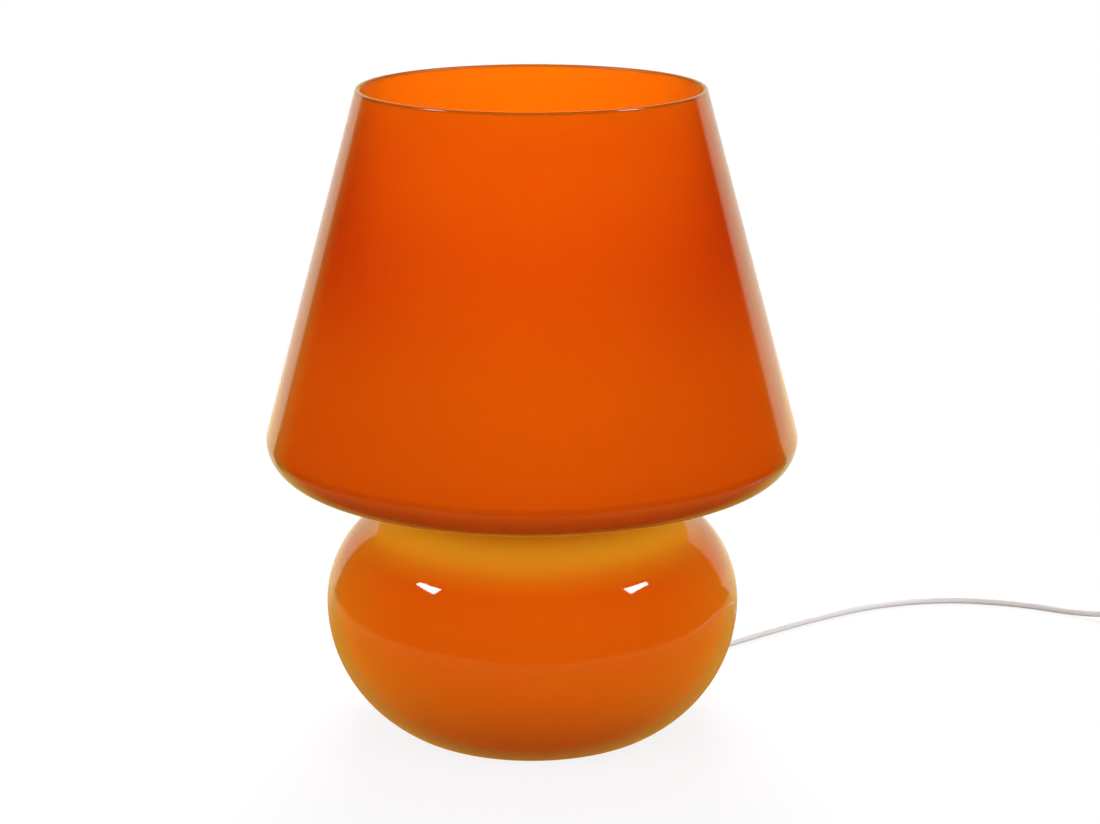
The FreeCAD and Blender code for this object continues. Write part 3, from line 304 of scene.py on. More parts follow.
class Route:
    """The cord's way in metres: control points on the table, and its place in the switch."""

    SWITCH_TURN, SWITCH_AXIS = math.radians(18), 0.008
    SWITCH_MOUTH, BEFORE_SWITCH, AFTER_SWITCH = 0.024, 0.056, 0.046
    FLOOR = 0.0025
    TO_SWITCH = (
        (0, 0.13865, 0.01786),
        (0, 0.16185, FLOOR),
        (0.001, 0.212, FLOOR),
        (0.0045, 0.272, FLOOR),
        (0.014, 0.329, FLOOR),
        (0.041, 0.378, FLOOR),
        (0.082, 0.410, FLOOR),
        (0.124, 0.427, FLOOR),
    )
    COIL_CENTRE = (0.2545, 0.404, 0.0038)
    TO_COIL = (
        (0.2727, 0.4637, 0.0062),
        (0.2883, 0.4497, 0.0045),
        (0.2955, 0.430, 0.0038),
        (0.2955, 0.412, 0.0038),
    )
    TO_PLUG = (
        (0.2955, 0.382, 0.0097),
        (0.2947, 0.353, 0.0073),
        (0.2999, 0.3297, 0.00685),
        (0.30624, 0.306, 0.00685),
    )
    LENGTH_TO_SWITCH, LENGTH_TO_PLUG = 0.412, 1.32


class Floor:
    """The table's size in metres, its tones, and the tones that glass mirrors of it.

    Glass mirrors it orange near the lamp, amber beside it, dark far off, and white in a wedge behind it. The
    orange near the lamp is painted light, the lamp's glow on the table.
    """

    SIZE, FORWARD = (3.2, 1.7, 1), (0, 0.41, 0)
    LIT, SEEN = 0.36, 0.86
    # NEAR is painted light: the lamp's orange glow on the table, which only glass sees.
    NEAR, BESIDE, FAR = (0.6, 0.27, 0.05), (0.70, 0.57, 0.20), (0.05, 0.01, 0.001)
    BEHIND = (1.0, 0.92, 0.72)
    # Distances from the lamp's axis, or behind it, over which each tone sets in.
    BESIDE_SPAN, FAR_SPAN, BEHIND_SPAN = (0.22, 0.45), (0.45, 0.62), (0.08, 0.5)
    # The wedge is where abs(x - LEAN y + SHIFT) - SLOPE y is under EDGE, with x to the right and y behind.
    WEDGE_LEAN, WEDGE_SHIFT, WEDGE_SLOPE, WEDGE_EDGE = 0.2, 0.05, 1.06, (0.08, 0.02)
    # Share of plain white in view, and where it grows to all of it, in front of the lamp and round about.
    WHITE, FRONT_FADE, ROUND_FADE = 0.85, (-0.3, -0.43), (0.5, 0.95)


class Room:
    """The white wall behind the lamp: its turn and reach about the view, and how glass mirrors the room."""

    TURN = math.radians(4.1)
    WALL = (math.cos(math.radians(45)), math.cos(math.radians(41)))
    MIRRORED = (0.015, 0.8)


class Lights:
    """Area lights, all aimed at the lamp's middle.

    Each has its name, turn from the camera, height and spread in degrees, distance and size in metres,
    watts, and whether it is a window that glass mirrors, or else a soft light that it doesn't.
    """

    ALL = (
        ("key_light", -52, 15, 180, 1.9, 1.1, 16.9, False),
        ("fill_light", 54, 13, 180, 1.9, 1.1, 16.6, False),
        ("back_light", 180, 34, 80, 1.9, 1.2, 13.8, False),
        ("window_left", -75, 42, 180, 1.9, 0.45, 20, True),
        ("window_right", 75, 42, 180, 1.9, 0.45, 20, True),
    )


class Camera:
    """Width of the camera's film in millimetres, and how far it sees in metres."""

    FILM, REACH = 36, 20


class Opal:
    """Light that comes through the bulb's globe."""

    GLOW, SHARE = (0.9, 0.88, 0.84), 0.4


class Grain:
    """Detail of the shared grain, and its depth in metres where it is felt as a bump."""

    DETAIL, DEPTH = 4.0, 0.0002


def new_nodes(name):
    """A material with an empty node tree, and its tree."""
    material = bpy.data.materials.new(name)
    material.use_nodes = True
    material.node_tree.nodes.clear()
    return material, material.node_tree


def add(tree, kind, **values):
    """A node with its settings, and its inputs set by name."""
    node = tree.nodes.new(kind)
    for key, value in values.items():
        if key in node.inputs:
            node.inputs[key].default_value = value
        else:
            setattr(node, key, value)
    return node


def feed(tree, socket, value):
    """Links a socket to another one, or gives it a plain number or colour."""
    if isinstance(value, bpy.types.NodeSocket):
        tree.links.new(value, socket)
    elif socket.type == "RGBA":
        socket.default_value = (*value, 1)
    else:
        socket.default_value = value


def feed_all(tree, node, values):
    """Feeds a node's inputs in their order."""
    for socket, value in zip(node.inputs, values):
        feed(tree, socket, value)


def split(tree, vector):
    """The X, Y and Z of a vector."""
    node = add(tree, "ShaderNodeSeparateXYZ")
    feed_all(tree, node, [vector])
    return node.outputs


def maths(tree, operation, *values):
    """The result of a sum with sockets and numbers."""
    node = add(tree, "ShaderNodeMath", operation=operation)
    feed_all(tree, node, values)
    return node.outputs["Value"]


def vectors(tree, operation, *values, gives="Value"):
    """The result of a sum with vectors: a number, or the vector that it gives."""
    node = add(tree, "ShaderNodeVectorMath", operation=operation)
    feed_all(tree, node, values)
    return node.outputs[gives]


def graded(tree, source, span, values=(0, 1), smooth=False):
    """A value that follows the source over a span, from the first of the values to the second."""
    node = add(tree, "ShaderNodeMapRange", interpolation_type="SMOOTHSTEP" if smooth else "LINEAR")
    given = zip(("Value", "From Min", "From Max", "To Min", "To Max"), (source, *span, *values))
    for name, value in given:
        feed(tree, node.inputs[name], value)
    return node.outputs["Result"]


def blended(tree, share, first, second, blend="MIX", data_type="RGBA"):
    """A colour that goes from the first to the second with the share."""
    node = add(tree, "ShaderNodeMix", data_type=data_type, blend_type=blend)
    for name, value in (("Factor", share), ("A", first), ("B", second)):
        feed(tree, node.inputs[name], value)
    return node.outputs["Result"]


def balanced(tree, share, first, second):
    """A value that goes from the first to the second with the share."""
    return blended(tree, share, first, second, data_type="FLOAT")


def layered(tree, share, first, second):
    """A shader that goes from the first to the second with the share."""
    node = add(tree, "ShaderNodeMixShader")
    feed_all(tree, node, (share, first, second))
    return node.outputs["Shader"]


def shown(tree, shader, kind="ShaderNodeOutputMaterial"):
    """Puts a shader out as what is seen."""
    feed(tree, add(tree, kind).inputs["Surface"], shader)


def ramp(tree, stops, source):
    """A colour that runs through stops of position and colour with the source."""
    node = add(tree, "ShaderNodeValToRGB")
    node.color_ramp.interpolation = "EASE"
    elements = node.color_ramp.elements
    while len(elements) > 1:
        elements.remove(elements[-1])
    elements[0].position, elements[0].color = stops[0][0], (*stops[0][1], 1)
    for place, colour in stops[1:]:
        elements.new(place).color = (*colour, 1)
    feed(tree, node.inputs["Fac"], source)
    return node.outputs["Color"]


def band_colours(tree, s, place, up):
    """The glass's colours by height, faintly streaked, with painted shade towards the foot and a painted
    glow on the amber shoulder.
    """
    bands = (
        # Painted shade at the foot.
        (Bands.FOOT, s.foot_shade_umber),
        (Bands.BASE_LOW, s.base_low_orange),
        (Bands.BASE_MIDDLE, s.base_orange),
        (Bands.BASE_HIGH, s.base_orange),
        # Painted glow on the amber shoulder and underside.
        (Bands.SHOULDER, s.amber),
        (s.underside + Bands.SEAM_LOW, s.amber),
        (s.underside + Bands.SEAM_HIGH, s.low_orange),
        (Bands.SHADE_LOW, s.low_orange),
        (Bands.SHADE_HIGH, s.orange),
    )
    stops = [(height / s.height, colour) for height, colour in bands]
    body = ramp(tree, stops, graded(tree, up, (0, s.height)))
    stretch = add(tree, "ShaderNodeMapping", Scale=Bands.STREAK_STRETCH)
    feed(tree, stretch.inputs["Vector"], place)
    streaks = add(tree, "ShaderNodeTexNoise", Scale=Bands.STREAK_SCALE, Detail=Bands.STREAK_DETAIL)
    feed(tree, streaks.inputs["Vector"], stretch.outputs["Vector"])
    streaked = graded(tree, streaks.outputs["Fac"], (0, 1), Bands.STREAK_SHADE)
    return blended(tree, 1.0, body, streaked, "MULTIPLY")


def edge_colours(tree, s, body, up, slant, inside):
    """Painted shade where the shade's face turns down under its edge, painted light in a lighter orange
    inside, and dark in the depth of the rim.
    """
    over_seam = maths(tree, "GREATER_THAN", up, s.underside + Bands.SEAM_LOW)
    # Painted shade on faces that slant down under the shade's edge.
    painted_shade_fold = maths(tree, "MULTIPLY", graded(tree, slant, Bands.FOLD), over_seam)
    body = blended(tree, painted_shade_fold, body, s.shaded_edge_orange)
    # Painted light: the lighter inner orange on the inside of the wall.
    body = blended(tree, inside, body, s.inner_lit_orange)
    rim = graded(tree, up, [s.height - s.wall * depth for depth in Bands.LIP], smooth=True)
    return blended(tree, rim, body, s.lip)


def limb_colours(tree, s, body, up, aslant, on_shade):
    """Painted shade on the shade's sides, a painted yellower glow on the base, and then browner, where one
    looks along the wall.
    """
    # Painted shade: the shade's sides darker where one looks along them, most near its top.
    most_side_shade = graded(tree, up, Bands.DEEPER_RISE, (1, Bands.DEEPEST), smooth=True)
    painted_side_shade = graded(tree, aslant, Bands.DEEPER, (1, most_side_shade), smooth=True)
    body = blended(tree, 1.0, body, painted_side_shade, "MULTIPLY")
    # Painted light: a yellower glow along the base's edges, standing in for light that comes through the
    # wall.
    most = graded(tree, up, Bands.BASE_LIMB_RISE, (0, Bands.BASE_LIMB_SHARE), smooth=True)
    yellower = graded(tree, aslant, Bands.BASE_LIMB, (0, most), smooth=True)
    body = blended(tree, balanced(tree, on_shade, yellower, 0), body, s.amber)
    browner = graded(tree, aslant, Bands.LIMB, (0, Bands.LIMB_SHARE), smooth=True)
    return blended(tree, browner, body, s.limb)


def glass_material(s):
    """Blown glass: coloured by place, glossy outside, and lit through from behind."""
    material, tree = new_nodes("orange_glass")
    where = add(tree, "ShaderNodeTexCoord")
    place, normal = where.outputs["Object"], where.outputs["Normal"]
    up, slant = split(tree, place)["Z"], split(tree, normal)["Z"]
    level = vectors(tree, "MULTIPLY", place, (1, 1, 0), gives="Vector")
    inside = graded(tree, vectors(tree, "DOT_PRODUCT", level, normal), Bands.INSIDE)
    on_shade = maths(tree, "GREATER_THAN", up, s.underside - s.neck_rounding)
    aslant = add(tree, "ShaderNodeLayerWeight").outputs["Facing"]

    body = band_colours(tree, s, place, up)
    body = edge_colours(tree, s, body, up, slant, inside)
    body = limb_colours(tree, s, body, up, aslant, on_shade)
    surface = add(tree, "ShaderNodeBsdfPrincipled", IOR=Shine.IOR)
    surface.inputs["Sheen Weight"].default_value = Shine.SHEEN
    surface.inputs["Sheen Roughness"].default_value = Shine.SHEEN_ROUGHNESS
    surface.inputs["Sheen Tint"].default_value = Shine.SHEEN_TINT
    feed(tree, surface.inputs["Base Color"], body)
    feed(tree, surface.inputs["Roughness"], graded(tree, inside, (0, 1), Shine.ROUGHNESS))

    through = add(tree, "ShaderNodeBsdfTranslucent", Color=(*s.glow, 1))
    # Painted light: the amber ring lets less through and shows brighter in the shadow under the shade.
    base_share = graded(tree, up, Bands.RING, (s.base_share, s.ring_share), smooth=True)
    outer_share = balanced(tree, on_shade, base_share, s.share_through)
    most = balanced(tree, inside, outer_share, s.inner_share)
    share = graded(tree, aslant, Bands.GRAZING, (most, 0), smooth=True)
    shown(tree, layered(tree, share, surface.outputs["BSDF"], through.outputs["BSDF"]))
    return material


def grain_group():
    """Shared fine grain: a mottled shade for colour, a roughness and a bump height."""
    group = bpy.data.node_groups.new("fine_grain", "ShaderNodeTree")
    sockets = (
        ("Scale", "INPUT", "NodeSocketFloat"),
        ("Stretch", "INPUT", "NodeSocketVector"),
        ("Rough Low", "INPUT", "NodeSocketFloat"),
        ("Rough High", "INPUT", "NodeSocketFloat"),
        ("Dark", "INPUT", "NodeSocketColor"),
        ("Light", "INPUT", "NodeSocketColor"),
        ("Color", "OUTPUT", "NodeSocketColor"),
        ("Roughness", "OUTPUT", "NodeSocketFloat"),
        ("Height", "OUTPUT", "NodeSocketFloat"),
    )
    for name, way, kind in sockets:
        group.interface.new_socket(name=name, in_out=way, socket_type=kind)
    given = add(group, "NodeGroupInput").outputs
    where = add(group, "ShaderNodeTexCoord")
    stretch = add(group, "ShaderNodeMapping")
    feed(group, stretch.inputs["Vector"], where.outputs["Object"])
    feed(group, stretch.inputs["Scale"], given["Stretch"])
    noise = add(group, "ShaderNodeTexNoise", Detail=Grain.DETAIL)
    feed(group, noise.inputs["Vector"], stretch.outputs["Vector"])
    feed(group, noise.inputs["Scale"], given["Scale"])
    mottle = noise.outputs["Fac"]
    colour = blended(group, mottle, given["Dark"], given["Light"])
    rough = graded(group, mottle, (0, 1), (given["Rough Low"], given["Rough High"]))
    feed_all(group, add(group, "NodeGroupOutput"), (colour, rough, mottle))
    return group


def grained(name, colour, spread=0.06, scale=400.0, stretch=(1, 1, 1), rough=(0.3, 0.4), bump=0.0, **plain):
    """A finish with the shared grain: its colour varies by spread, and plain sets its shader's sockets."""
    material, tree = new_nodes(name)
    group = bpy.data.node_groups.get("fine_grain") or grain_group()
    grain = add(tree, "ShaderNodeGroup", node_tree=group)
    dark = [tone * (1 - spread) for tone in colour]
    light = [min(tone * (1 + spread), 1) for tone in colour]
    feed_all(tree, grain, (scale, stretch, *rough, dark, light))
    surface = add(tree, "ShaderNodeBsdfPrincipled", **plain)
    feed(tree, surface.inputs["Base Color"], grain.outputs["Color"])
    feed(tree, surface.inputs["Roughness"], grain.outputs["Roughness"])
    if bump:
        relief = add(tree, "ShaderNodeBump", Strength=bump, Distance=Grain.DEPTH)
        feed(tree, relief.inputs["Height"], grain.outputs["Height"])
        feed(tree, surface.inputs["Normal"], relief.outputs["Normal"])
    shown(tree, surface.outputs["BSDF"])
    return material


def dress(material, *names):
    """Gives CAD nodes a finish."""
    for name in names:
        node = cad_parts[name]
        node.data.materials.clear()
        node.data.materials.append(material)


def arc(centre, radius, start, end, steps):
    """Points of an arc in the outline's plane, from start to end in degrees."""
    turn = [math.radians(start + (end - start) * i / steps) for i in range(steps + 1)]
    return [(centre[0] + radius * math.cos(a), centre[1] + radius * math.sin(a)) for a in turn]


def straight(start, end, steps):
    """Points on a straight stretch of the outline, without its two ends."""
    return [tuple(a + (b - a) * i / steps for a, b in zip(start, end)) for i in range(1, steps)]


def base_side(s, inset):
    """One face of the base and neck, from the foot's flat ring to the underside, inset from the outside."""
    lower_centre = (s.base_radius - s.lower_rounding, s.base_waist)
    span, drop = s.lower_rounding - s.foot_rounding, s.base_waist - s.foot_rounding
    foot_centre = (lower_centre[0] + math.sqrt(span**2 - drop**2), s.foot_rounding)
    tilt = -math.degrees(math.asin(drop / span))
    upper_centre = (s.base_radius - s.upper_rounding, s.base_waist)
    shoulder = s.base_waist + s.upper_rounding
    neck_centre = s.neck_radius + s.neck_rounding
    neck_round = s.neck_rounding + inset
    points = arc(foot_centre, s.foot_rounding - inset, -90, tilt, Steps.FOOT)
    points += arc(lower_centre, s.lower_rounding - inset, tilt, 0, Steps.LOWER)[1:]
    points += arc(upper_centre, s.upper_rounding - inset, 0, 90, Steps.UPPER)[1:]
    points += arc((neck_centre, shoulder + s.neck_rounding), neck_round, 270, 180, Steps.NECK)
    points += arc((neck_centre, s.underside - s.neck_rounding), neck_round, 180, 90, Steps.NECK)
    return points


def glass_outline(s):
    """Outline of the wall, from the middle of the foot up the outside, over the rim and down the inside."""
    half = s.wall / 2
    edge = (s.shade_radius - s.edge_rounding, s.underside + s.edge_rounding)
    rim = (s.rim_radius - half, s.height - half)
    run, climb = rim[0] - edge[0], rim[1] - edge[1]
    opening = math.acos((half - s.edge_rounding) / math.hypot(run, climb))
    lean = math.degrees(math.atan2(climb, run) - opening)
    outer = base_side(s, 0) + arc(edge, s.edge_rounding, -90, lean, Steps.EDGE)
    inner = base_side(s, s.wall) + arc(edge, s.edge_rounding - s.wall, -90, lean, Steps.EDGE)
    over_rim = arc(rim, half, lean, lean + 180, Steps.RIM)

    kick = (s.kick_radius**2 + s.kick_depth**2) / (2 * s.kick_depth)
    centre = (0, s.kick_depth - kick)
    reach = math.degrees(math.acos(s.kick_radius / kick))
    foot = arc(centre, kick, 90, reach, Steps.KICK)
    inner_reach = math.degrees(math.asin((s.wall - centre[1]) / (kick + s.wall)))
    inner_foot = arc(centre, kick + s.wall, inner_reach, 90, Steps.KICK)

    up_cone = straight(outer[-1], over_rim[0], Steps.CONE)
    down_cone = straight(over_rim[-1], inner[-1], Steps.CONE)
    return foot + outer + up_cone + over_rim + down_cone + inner[::-1] + inner_foot


def start_mesh(name):
    """A single point in edit mode, to extrude from."""
    bpy.ops.object.select_all(action="DESELECT")
    bpy.ops.mesh.primitive_plane_add(size=Steps.START_SIZE)
    piece = bpy.context.object
    piece.name = piece.data.name = name
    bpy.ops.object.mode_set(mode="EDIT")
    bpy.ops.mesh.select_all(action="SELECT")
    bpy.ops.mesh.merge(type="CENTER")
    return piece


def spun(name, outline, steps):
    """Extrudes an outline of radius and height from point to point, and spins it about Z."""
    piece = start_mesh(name)
    here = Vector((outline[0][0], 0, outline[0][1]))
    bpy.ops.transform.translate(value=here)
    for across, up in outline[1:]:
        there = Vector((across, 0, up))
        bpy.ops.mesh.extrude_region_move(TRANSFORM_OT_translate={"value": there - here})
        here = there
    bpy.ops.mesh.select_all(action="SELECT")
    bpy.ops.mesh.spin(steps=steps, angle=2 * math.pi, center=(0, 0, 0), axis=(0, 0, 1))
    bpy.ops.mesh.select_all(action="SELECT")
    bpy.ops.mesh.remove_doubles(threshold=Steps.MERGE_DISTANCE)
    bpy.ops.mesh.normals_make_consistent(inside=False)
    bpy.ops.mesh.faces_shade_smooth()
    bpy.ops.object.mode_set(mode="OBJECT")
    return piece


def drill(glass, s):
    """Cuts the cord's hole square through the wall, low at the back, and keeps its edges sharp."""
    centre = s.base_radius - s.lower_rounding
    drop = s.hole_height - s.base_waist
    out = math.sqrt(s.lower_rounding**2 - drop**2)
    axis = Vector((0, out, drop)).normalized()
    bpy.ops.object.select_all(action="DESELECT")
    bpy.ops.mesh.primitive_cylinder_add(
        vertices=Steps.DRILL_SIDES, radius=s.hole_radius, depth=Steps.DRILL_WALLS * s.wall,
        location=(0, centre + out, s.hole_height), rotation=axis.to_track_quat("Z", "X").to_euler(),
    )
    core = bpy.context.object
    cut = glass.modifiers.new("cord_hole", "BOOLEAN")
    cut.operation = "DIFFERENCE"
    cut.object = core
    bpy.context.view_layer.objects.active = glass
    bpy.ops.object.modifier_apply(modifier=cut.name)
    bpy.data.objects.remove(core)
    bpy.ops.object.mode_set(mode="EDIT")
    bpy.ops.mesh.select_mode(type="EDGE")
    bpy.ops.mesh.select_all(action="DESELECT")
    bpy.ops.mesh.edges_select_sharp(sharpness=Steps.SHARP)
    bpy.ops.mesh.mark_sharp()
    bpy.ops.mesh.select_mode(type="VERT")
    bpy.ops.object.mode_set(mode="OBJECT")


class LAMP_OT_glass(bpy.types.Operator):
    """Spins the one-piece glass, drills its hole and gives it its orange"""

    bl_idname = "lamp.glass"
    bl_label = "Blow the glass"

    def execute(self, context):
        s = context.scene.lamp_glass
        glass = spun("blown_glass", glass_outline(s), s.turns)
        drill(glass, s)
        glass.data.materials.append(glass_material(s))
        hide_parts("glass_body")
        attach(glass, "lamp")
        return {"FINISHED"}


def smooth_cord(name, points, diameter, material, roundness=5, smoothness=8):
    """A round cord on a smooth spline with the route's points as its control points."""
    curve = bpy.data.curves.new(name, "CURVE")
    curve.dimensions = "3D"
    curve.bevel_depth = diameter / 2
    curve.bevel_resolution = roundness
    curve.resolution_u = smoothness
    curve.use_fill_caps = True
    spline = curve.splines.new("NURBS")
    spline.points.add(len(points) - 1)
    for point, place in zip(spline.points, points):
        point.co = (*place, 1)
    spline.order_u = 3
    spline.use_endpoint_u = True
    curve.materials.append(material)
    cord = bpy.data.objects.new(name, curve)
    bpy.context.scene.collection.objects.link(cord)
    return cord


def coil_points(s, centre, per_turn=16, lower_halves=6, upper_halves=5):
    """Control points of the coil: inwards on the lower layer, over, and outwards on the upper one."""
    step = 2 * math.pi / per_turn
    outset = 1 / math.cos(step / 2)
    half = per_turn // 2
    lower, upper = lower_halves * half, upper_halves * half
    turn_in = s.coil_pitch / per_turn
    inner = s.coil_radius - lower * turn_in
    reaches = [(s.coil_radius - i * turn_in, 0) for i in range(lower + 1)]
    reaches += [(inner, s.coil_layer * (1 - math.cos(math.pi * i / half)) / 2) for i in range(1, half)]
    reaches += [(inner + i * turn_in, s.coil_layer) for i in range(upper + 1)]
    points = []
    for i, (reach, rise) in enumerate(reaches):
        along, aside = reach * outset * math.cos(-i * step), reach * outset * math.sin(-i * step)
        points.append((centre[0] + along, centre[1] + aside, centre[2] + rise))
    return points


class LAMP_OT_cord(bpy.types.Operator):
    """Lays the cord from the glass to the switch, and on through its coil to the plug"""

    bl_idname = "lamp.cord"
    bl_label = "Lay the cord"

    def execute(self, context):
        s = context.scene.lamp_cord
        white = grained(
            "cord_sheath", s.colour, spread=0.03, scale=900.0, rough=(0.32, 0.42), bump=0.1, IOR=1.46,
        )
        switch_low, switch_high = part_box("switch_base")
        middle = (switch_low + switch_high) / 2
        middle.z = Route.SWITCH_AXIS
        way = Vector((math.cos(Route.SWITCH_TURN), math.sin(Route.SWITCH_TURN), 0))
        run = [
            *(Vector(place) for place in Route.TO_SWITCH),
            middle - way * Route.BEFORE_SWITCH,
            middle - way * Route.SWITCH_MOUTH,
        ]
        front = smooth_cord("cord_to_switch", run, s.diameter, white)
        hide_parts("cord_run")
        rest = [
            middle + way * Route.SWITCH_MOUTH,
            middle + way * Route.AFTER_SWITCH,
            *(Vector(place) for place in Route.TO_COIL),
            *coil_points(s, Route.COIL_CENTRE),
            *(Vector(place) for place in Route.TO_PLUG),
        ]
        back = smooth_cord("cord_to_plug", rest, s.diameter, white)
        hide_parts("cord_link", "cord_coil", "cord_tail")
        for cord in (front, back):
            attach(cord, "lamp")
        return {"FINISHED"}


class LAMP_OT_fittings(bpy.types.Operator):
    """Gives the neck, stem, lampholder, switch and plug their finishes"""

    bl_idname = "lamp.fittings"
    bl_label = "Finish the fittings"

    def execute(self, context):
        white = grained(
            "moulded_white", (0.60, 0.60, 0.58), spread=0.03, scale=700.0, rough=(0.28, 0.38), bump=0.15,
        )
        dress(white, "switch_base", "switch_cover", "switch_rocker", "plug_body", "plug_sleeve")
        dress(white, "coil_tie", "stem_bush")
        soft = grained("soft_bush", (0.62, 0.62, 0.60), spread=0.04, scale=500.0, rough=(0.45, 0.6))
        dress(soft, "cord_bush")
        rubber = grained(
            "gasket_black", (0.02, 0.02, 0.02), spread=0.2, scale=600.0, rough=(0.7, 0.85), bump=0.3,
        )
        dress(rubber, "neck_gasket")
        coat = grained(
            "plate_coat", (0.75, 0.75, 0.73), spread=0.03, scale=1500.0, rough=(0.4, 0.5), bump=0.25,
        )
        dress(coat, "neck_plate")
        spring = grained(
            "spring_strip", (0.42, 0.42, 0.41), spread=0.12, scale=250.0, stretch=(1, 1, 12),
            rough=(0.25, 0.4), Metallic=1.0,
        )
        dress(spring, "spring_clips")
        zinc = grained(
            "zinc_plate", (0.55, 0.56, 0.58), spread=0.1, scale=350.0, rough=(0.25, 0.42), Metallic=1.0,
        )
        dress(zinc, "clip_rivets", "threaded_stem", "stem_nut", "stem_washers", "holder_lock_screw")
        dress(zinc, "switch_screws", "bulb_contact")
        brass = grained(
            "contact_brass", (0.62, 0.42, 0.13), spread=0.1, scale=300.0, rough=(0.22, 0.36), Metallic=1.0,
        )
        dress(brass, "centre_contact", "side_contact", "terminal_screws", "switch_terminals")
        black = grained(
            "phenolic_black", (0.018, 0.018, 0.019), spread=0.2, scale=800.0, rough=(0.35, 0.5), bump=0.1,
        )
        dress(black, "holder_cap", "holder_skirt")
        ceramic = grained(
            "ceramic_white", (0.78, 0.76, 0.72), spread=0.04, scale=900.0, rough=(0.5, 0.65), bump=0.2,
        )
        dress(ceramic, "holder_insert")
        dress(grained("core_brown", (0.13, 0.05, 0.02), spread=0.05, scale=600.0), "live_wire")
        dress(grained("core_blue", (0.02, 0.09, 0.35), spread=0.05, scale=600.0), "neutral_wire")
        dress(bpy.data.materials["cord_sheath"], "inner_cord")
        nickel = grained(
            "pin_nickel", (0.6, 0.59, 0.57), spread=0.06, scale=400.0, rough=(0.15, 0.28), Metallic=1.0,
        )
        dress(nickel, "plug_pins")
        return {"FINISHED"}


def opal_material():
    """White globe of the bulb, with light coming through."""
    material = grained(
        "opal_globe", (0.86, 0.85, 0.82), spread=0.03, scale=120.0, rough=(0.18, 0.32), bump=0.05, IOR=1.5,
    )
    tree = material.node_tree
    out = next(node for node in tree.nodes if node.type == "OUTPUT_MATERIAL")
    face = out.inputs["Surface"].links[0].from_socket
    through = add(tree, "ShaderNodeBsdfTranslucent", Color=(*Opal.GLOW, 1))
    feed(tree, out.inputs["Surface"], layered(tree, Opal.SHARE, face, through.outputs["BSDF"]))
    return material


class LAMP_OT_bulb(bpy.types.Operator):
    """Finishes the bulb"""

    bl_idname = "lamp.bulb"
    bl_label = "Finish the bulb"

    def execute(self, context):
        dress(opal_material(), "bulb_globe")
        cap = grained(
            "bulb_cap_metal", (0.6, 0.6, 0.59), spread=0.08, scale=300.0, rough=(0.2, 0.35), Metallic=1.0,
        )
        dress(cap, "bulb_cap")
        black = grained("black_glass", (0.01, 0.01, 0.01), spread=0.1, scale=300.0, rough=(0.08, 0.15))
        dress(black, "bulb_insulator")
        clear = grained("stem_glass", (0.7, 0.72, 0.72), spread=0.03, scale=300.0, rough=(0.05, 0.1))
        dress(clear, "bulb_stem")
        wire = grained("filament_wire", (0.2, 0.2, 0.21), spread=0.1, scale=900.0, Metallic=1.0)
        dress(wire, "bulb_filament")
        return {"FINISHED"}


def mirrored_tones(tree, right, backward, reach):
    """What glass mirrors of the floor: tones by distance, and white in the wedge behind the lamp."""
    beside = graded(tree, reach, Floor.BESIDE_SPAN, smooth=True)
    far = graded(tree, reach, Floor.FAR_SPAN, smooth=True)
    around = blended(tree, far, blended(tree, beside, Floor.NEAR, Floor.BESIDE), Floor.FAR)
    leaning = maths(tree, "MULTIPLY_ADD", backward, -Floor.WEDGE_LEAN, right)
    aside = maths(tree, "ABSOLUTE", maths(tree, "ADD", leaning, Floor.WEDGE_SHIFT))
    past = maths(tree, "MULTIPLY_ADD", backward, -Floor.WEDGE_SLOPE, aside)
    within = graded(tree, past, Floor.WEDGE_EDGE, smooth=True)
    behind = balanced(tree, within, 0, graded(tree, backward, Floor.BEHIND_SPAN, smooth=True))
    return blended(tree, behind, around, Floor.BEHIND)


def floor_material():
    """White floor: it takes the lamp's shadow and fades to white, and glass mirrors tones of its own."""
    material, tree = new_nodes("white_floor")
    rays = add(tree, "ShaderNodeLightPath")
    in_view = rays.outputs["Is Camera Ray"]
    place = add(tree, "ShaderNodeTexCoord").outputs["Object"]
    right, backward, _ = split(tree, place)
    reach = vectors(tree, "LENGTH", place)
    matte = add(tree, "ShaderNodeBsdfDiffuse")
    feed(tree, matte.inputs["Color"], graded(tree, in_view, (0, 1), (Floor.LIT, Floor.SEEN)))
    mirrored = add(tree, "ShaderNodeEmission")
    feed(tree, mirrored.inputs["Color"], mirrored_tones(tree, right, backward, reach))
    lit = layered(tree, rays.outputs["Is Glossy Ray"], matte.outputs["BSDF"], mirrored.outputs["Emission"])

    in_front = graded(tree, backward, Floor.FRONT_FADE, (Floor.WHITE, 1), smooth=True)
    round_about = graded(tree, reach, Floor.ROUND_FADE, (Floor.WHITE, 1), smooth=True)
    fading = maths(tree, "MAXIMUM", in_front, round_about)
    white = add(tree, "ShaderNodeEmission", Color=(1, 1, 1, 1))
    shown(tree, layered(tree, maths(tree, "MULTIPLY", in_view, fading), lit, white.outputs["Emission"]))
    return material


def studio_world(s, backward):
    """White in view, even light on all things, and for glass a white wall behind the lamp in a dark room."""
    world = bpy.data.worlds.new("studio")
    world.use_nodes = True
    tree = world.node_tree
    tree.nodes.clear()
    way = add(tree, "ShaderNodeTexCoord").outputs["Generated"]
    facing = vectors(tree, "DOT_PRODUCT", way, backward)
    wall = graded(tree, facing, Room.WALL, Room.MIRRORED, smooth=True)
    rays = add(tree, "ShaderNodeLightPath")
    lighting = balanced(tree, rays.outputs["Is Glossy Ray"], s.ambient, wall)
    light = add(tree, "ShaderNodeBackground", Color=(1, 1, 1, 1))
    feed(tree, light.inputs["Strength"], balanced(tree, rays.outputs["Is Camera Ray"], lighting, 1.0))
    shown(tree, light.outputs["Background"], "ShaderNodeOutputWorld")
    return world


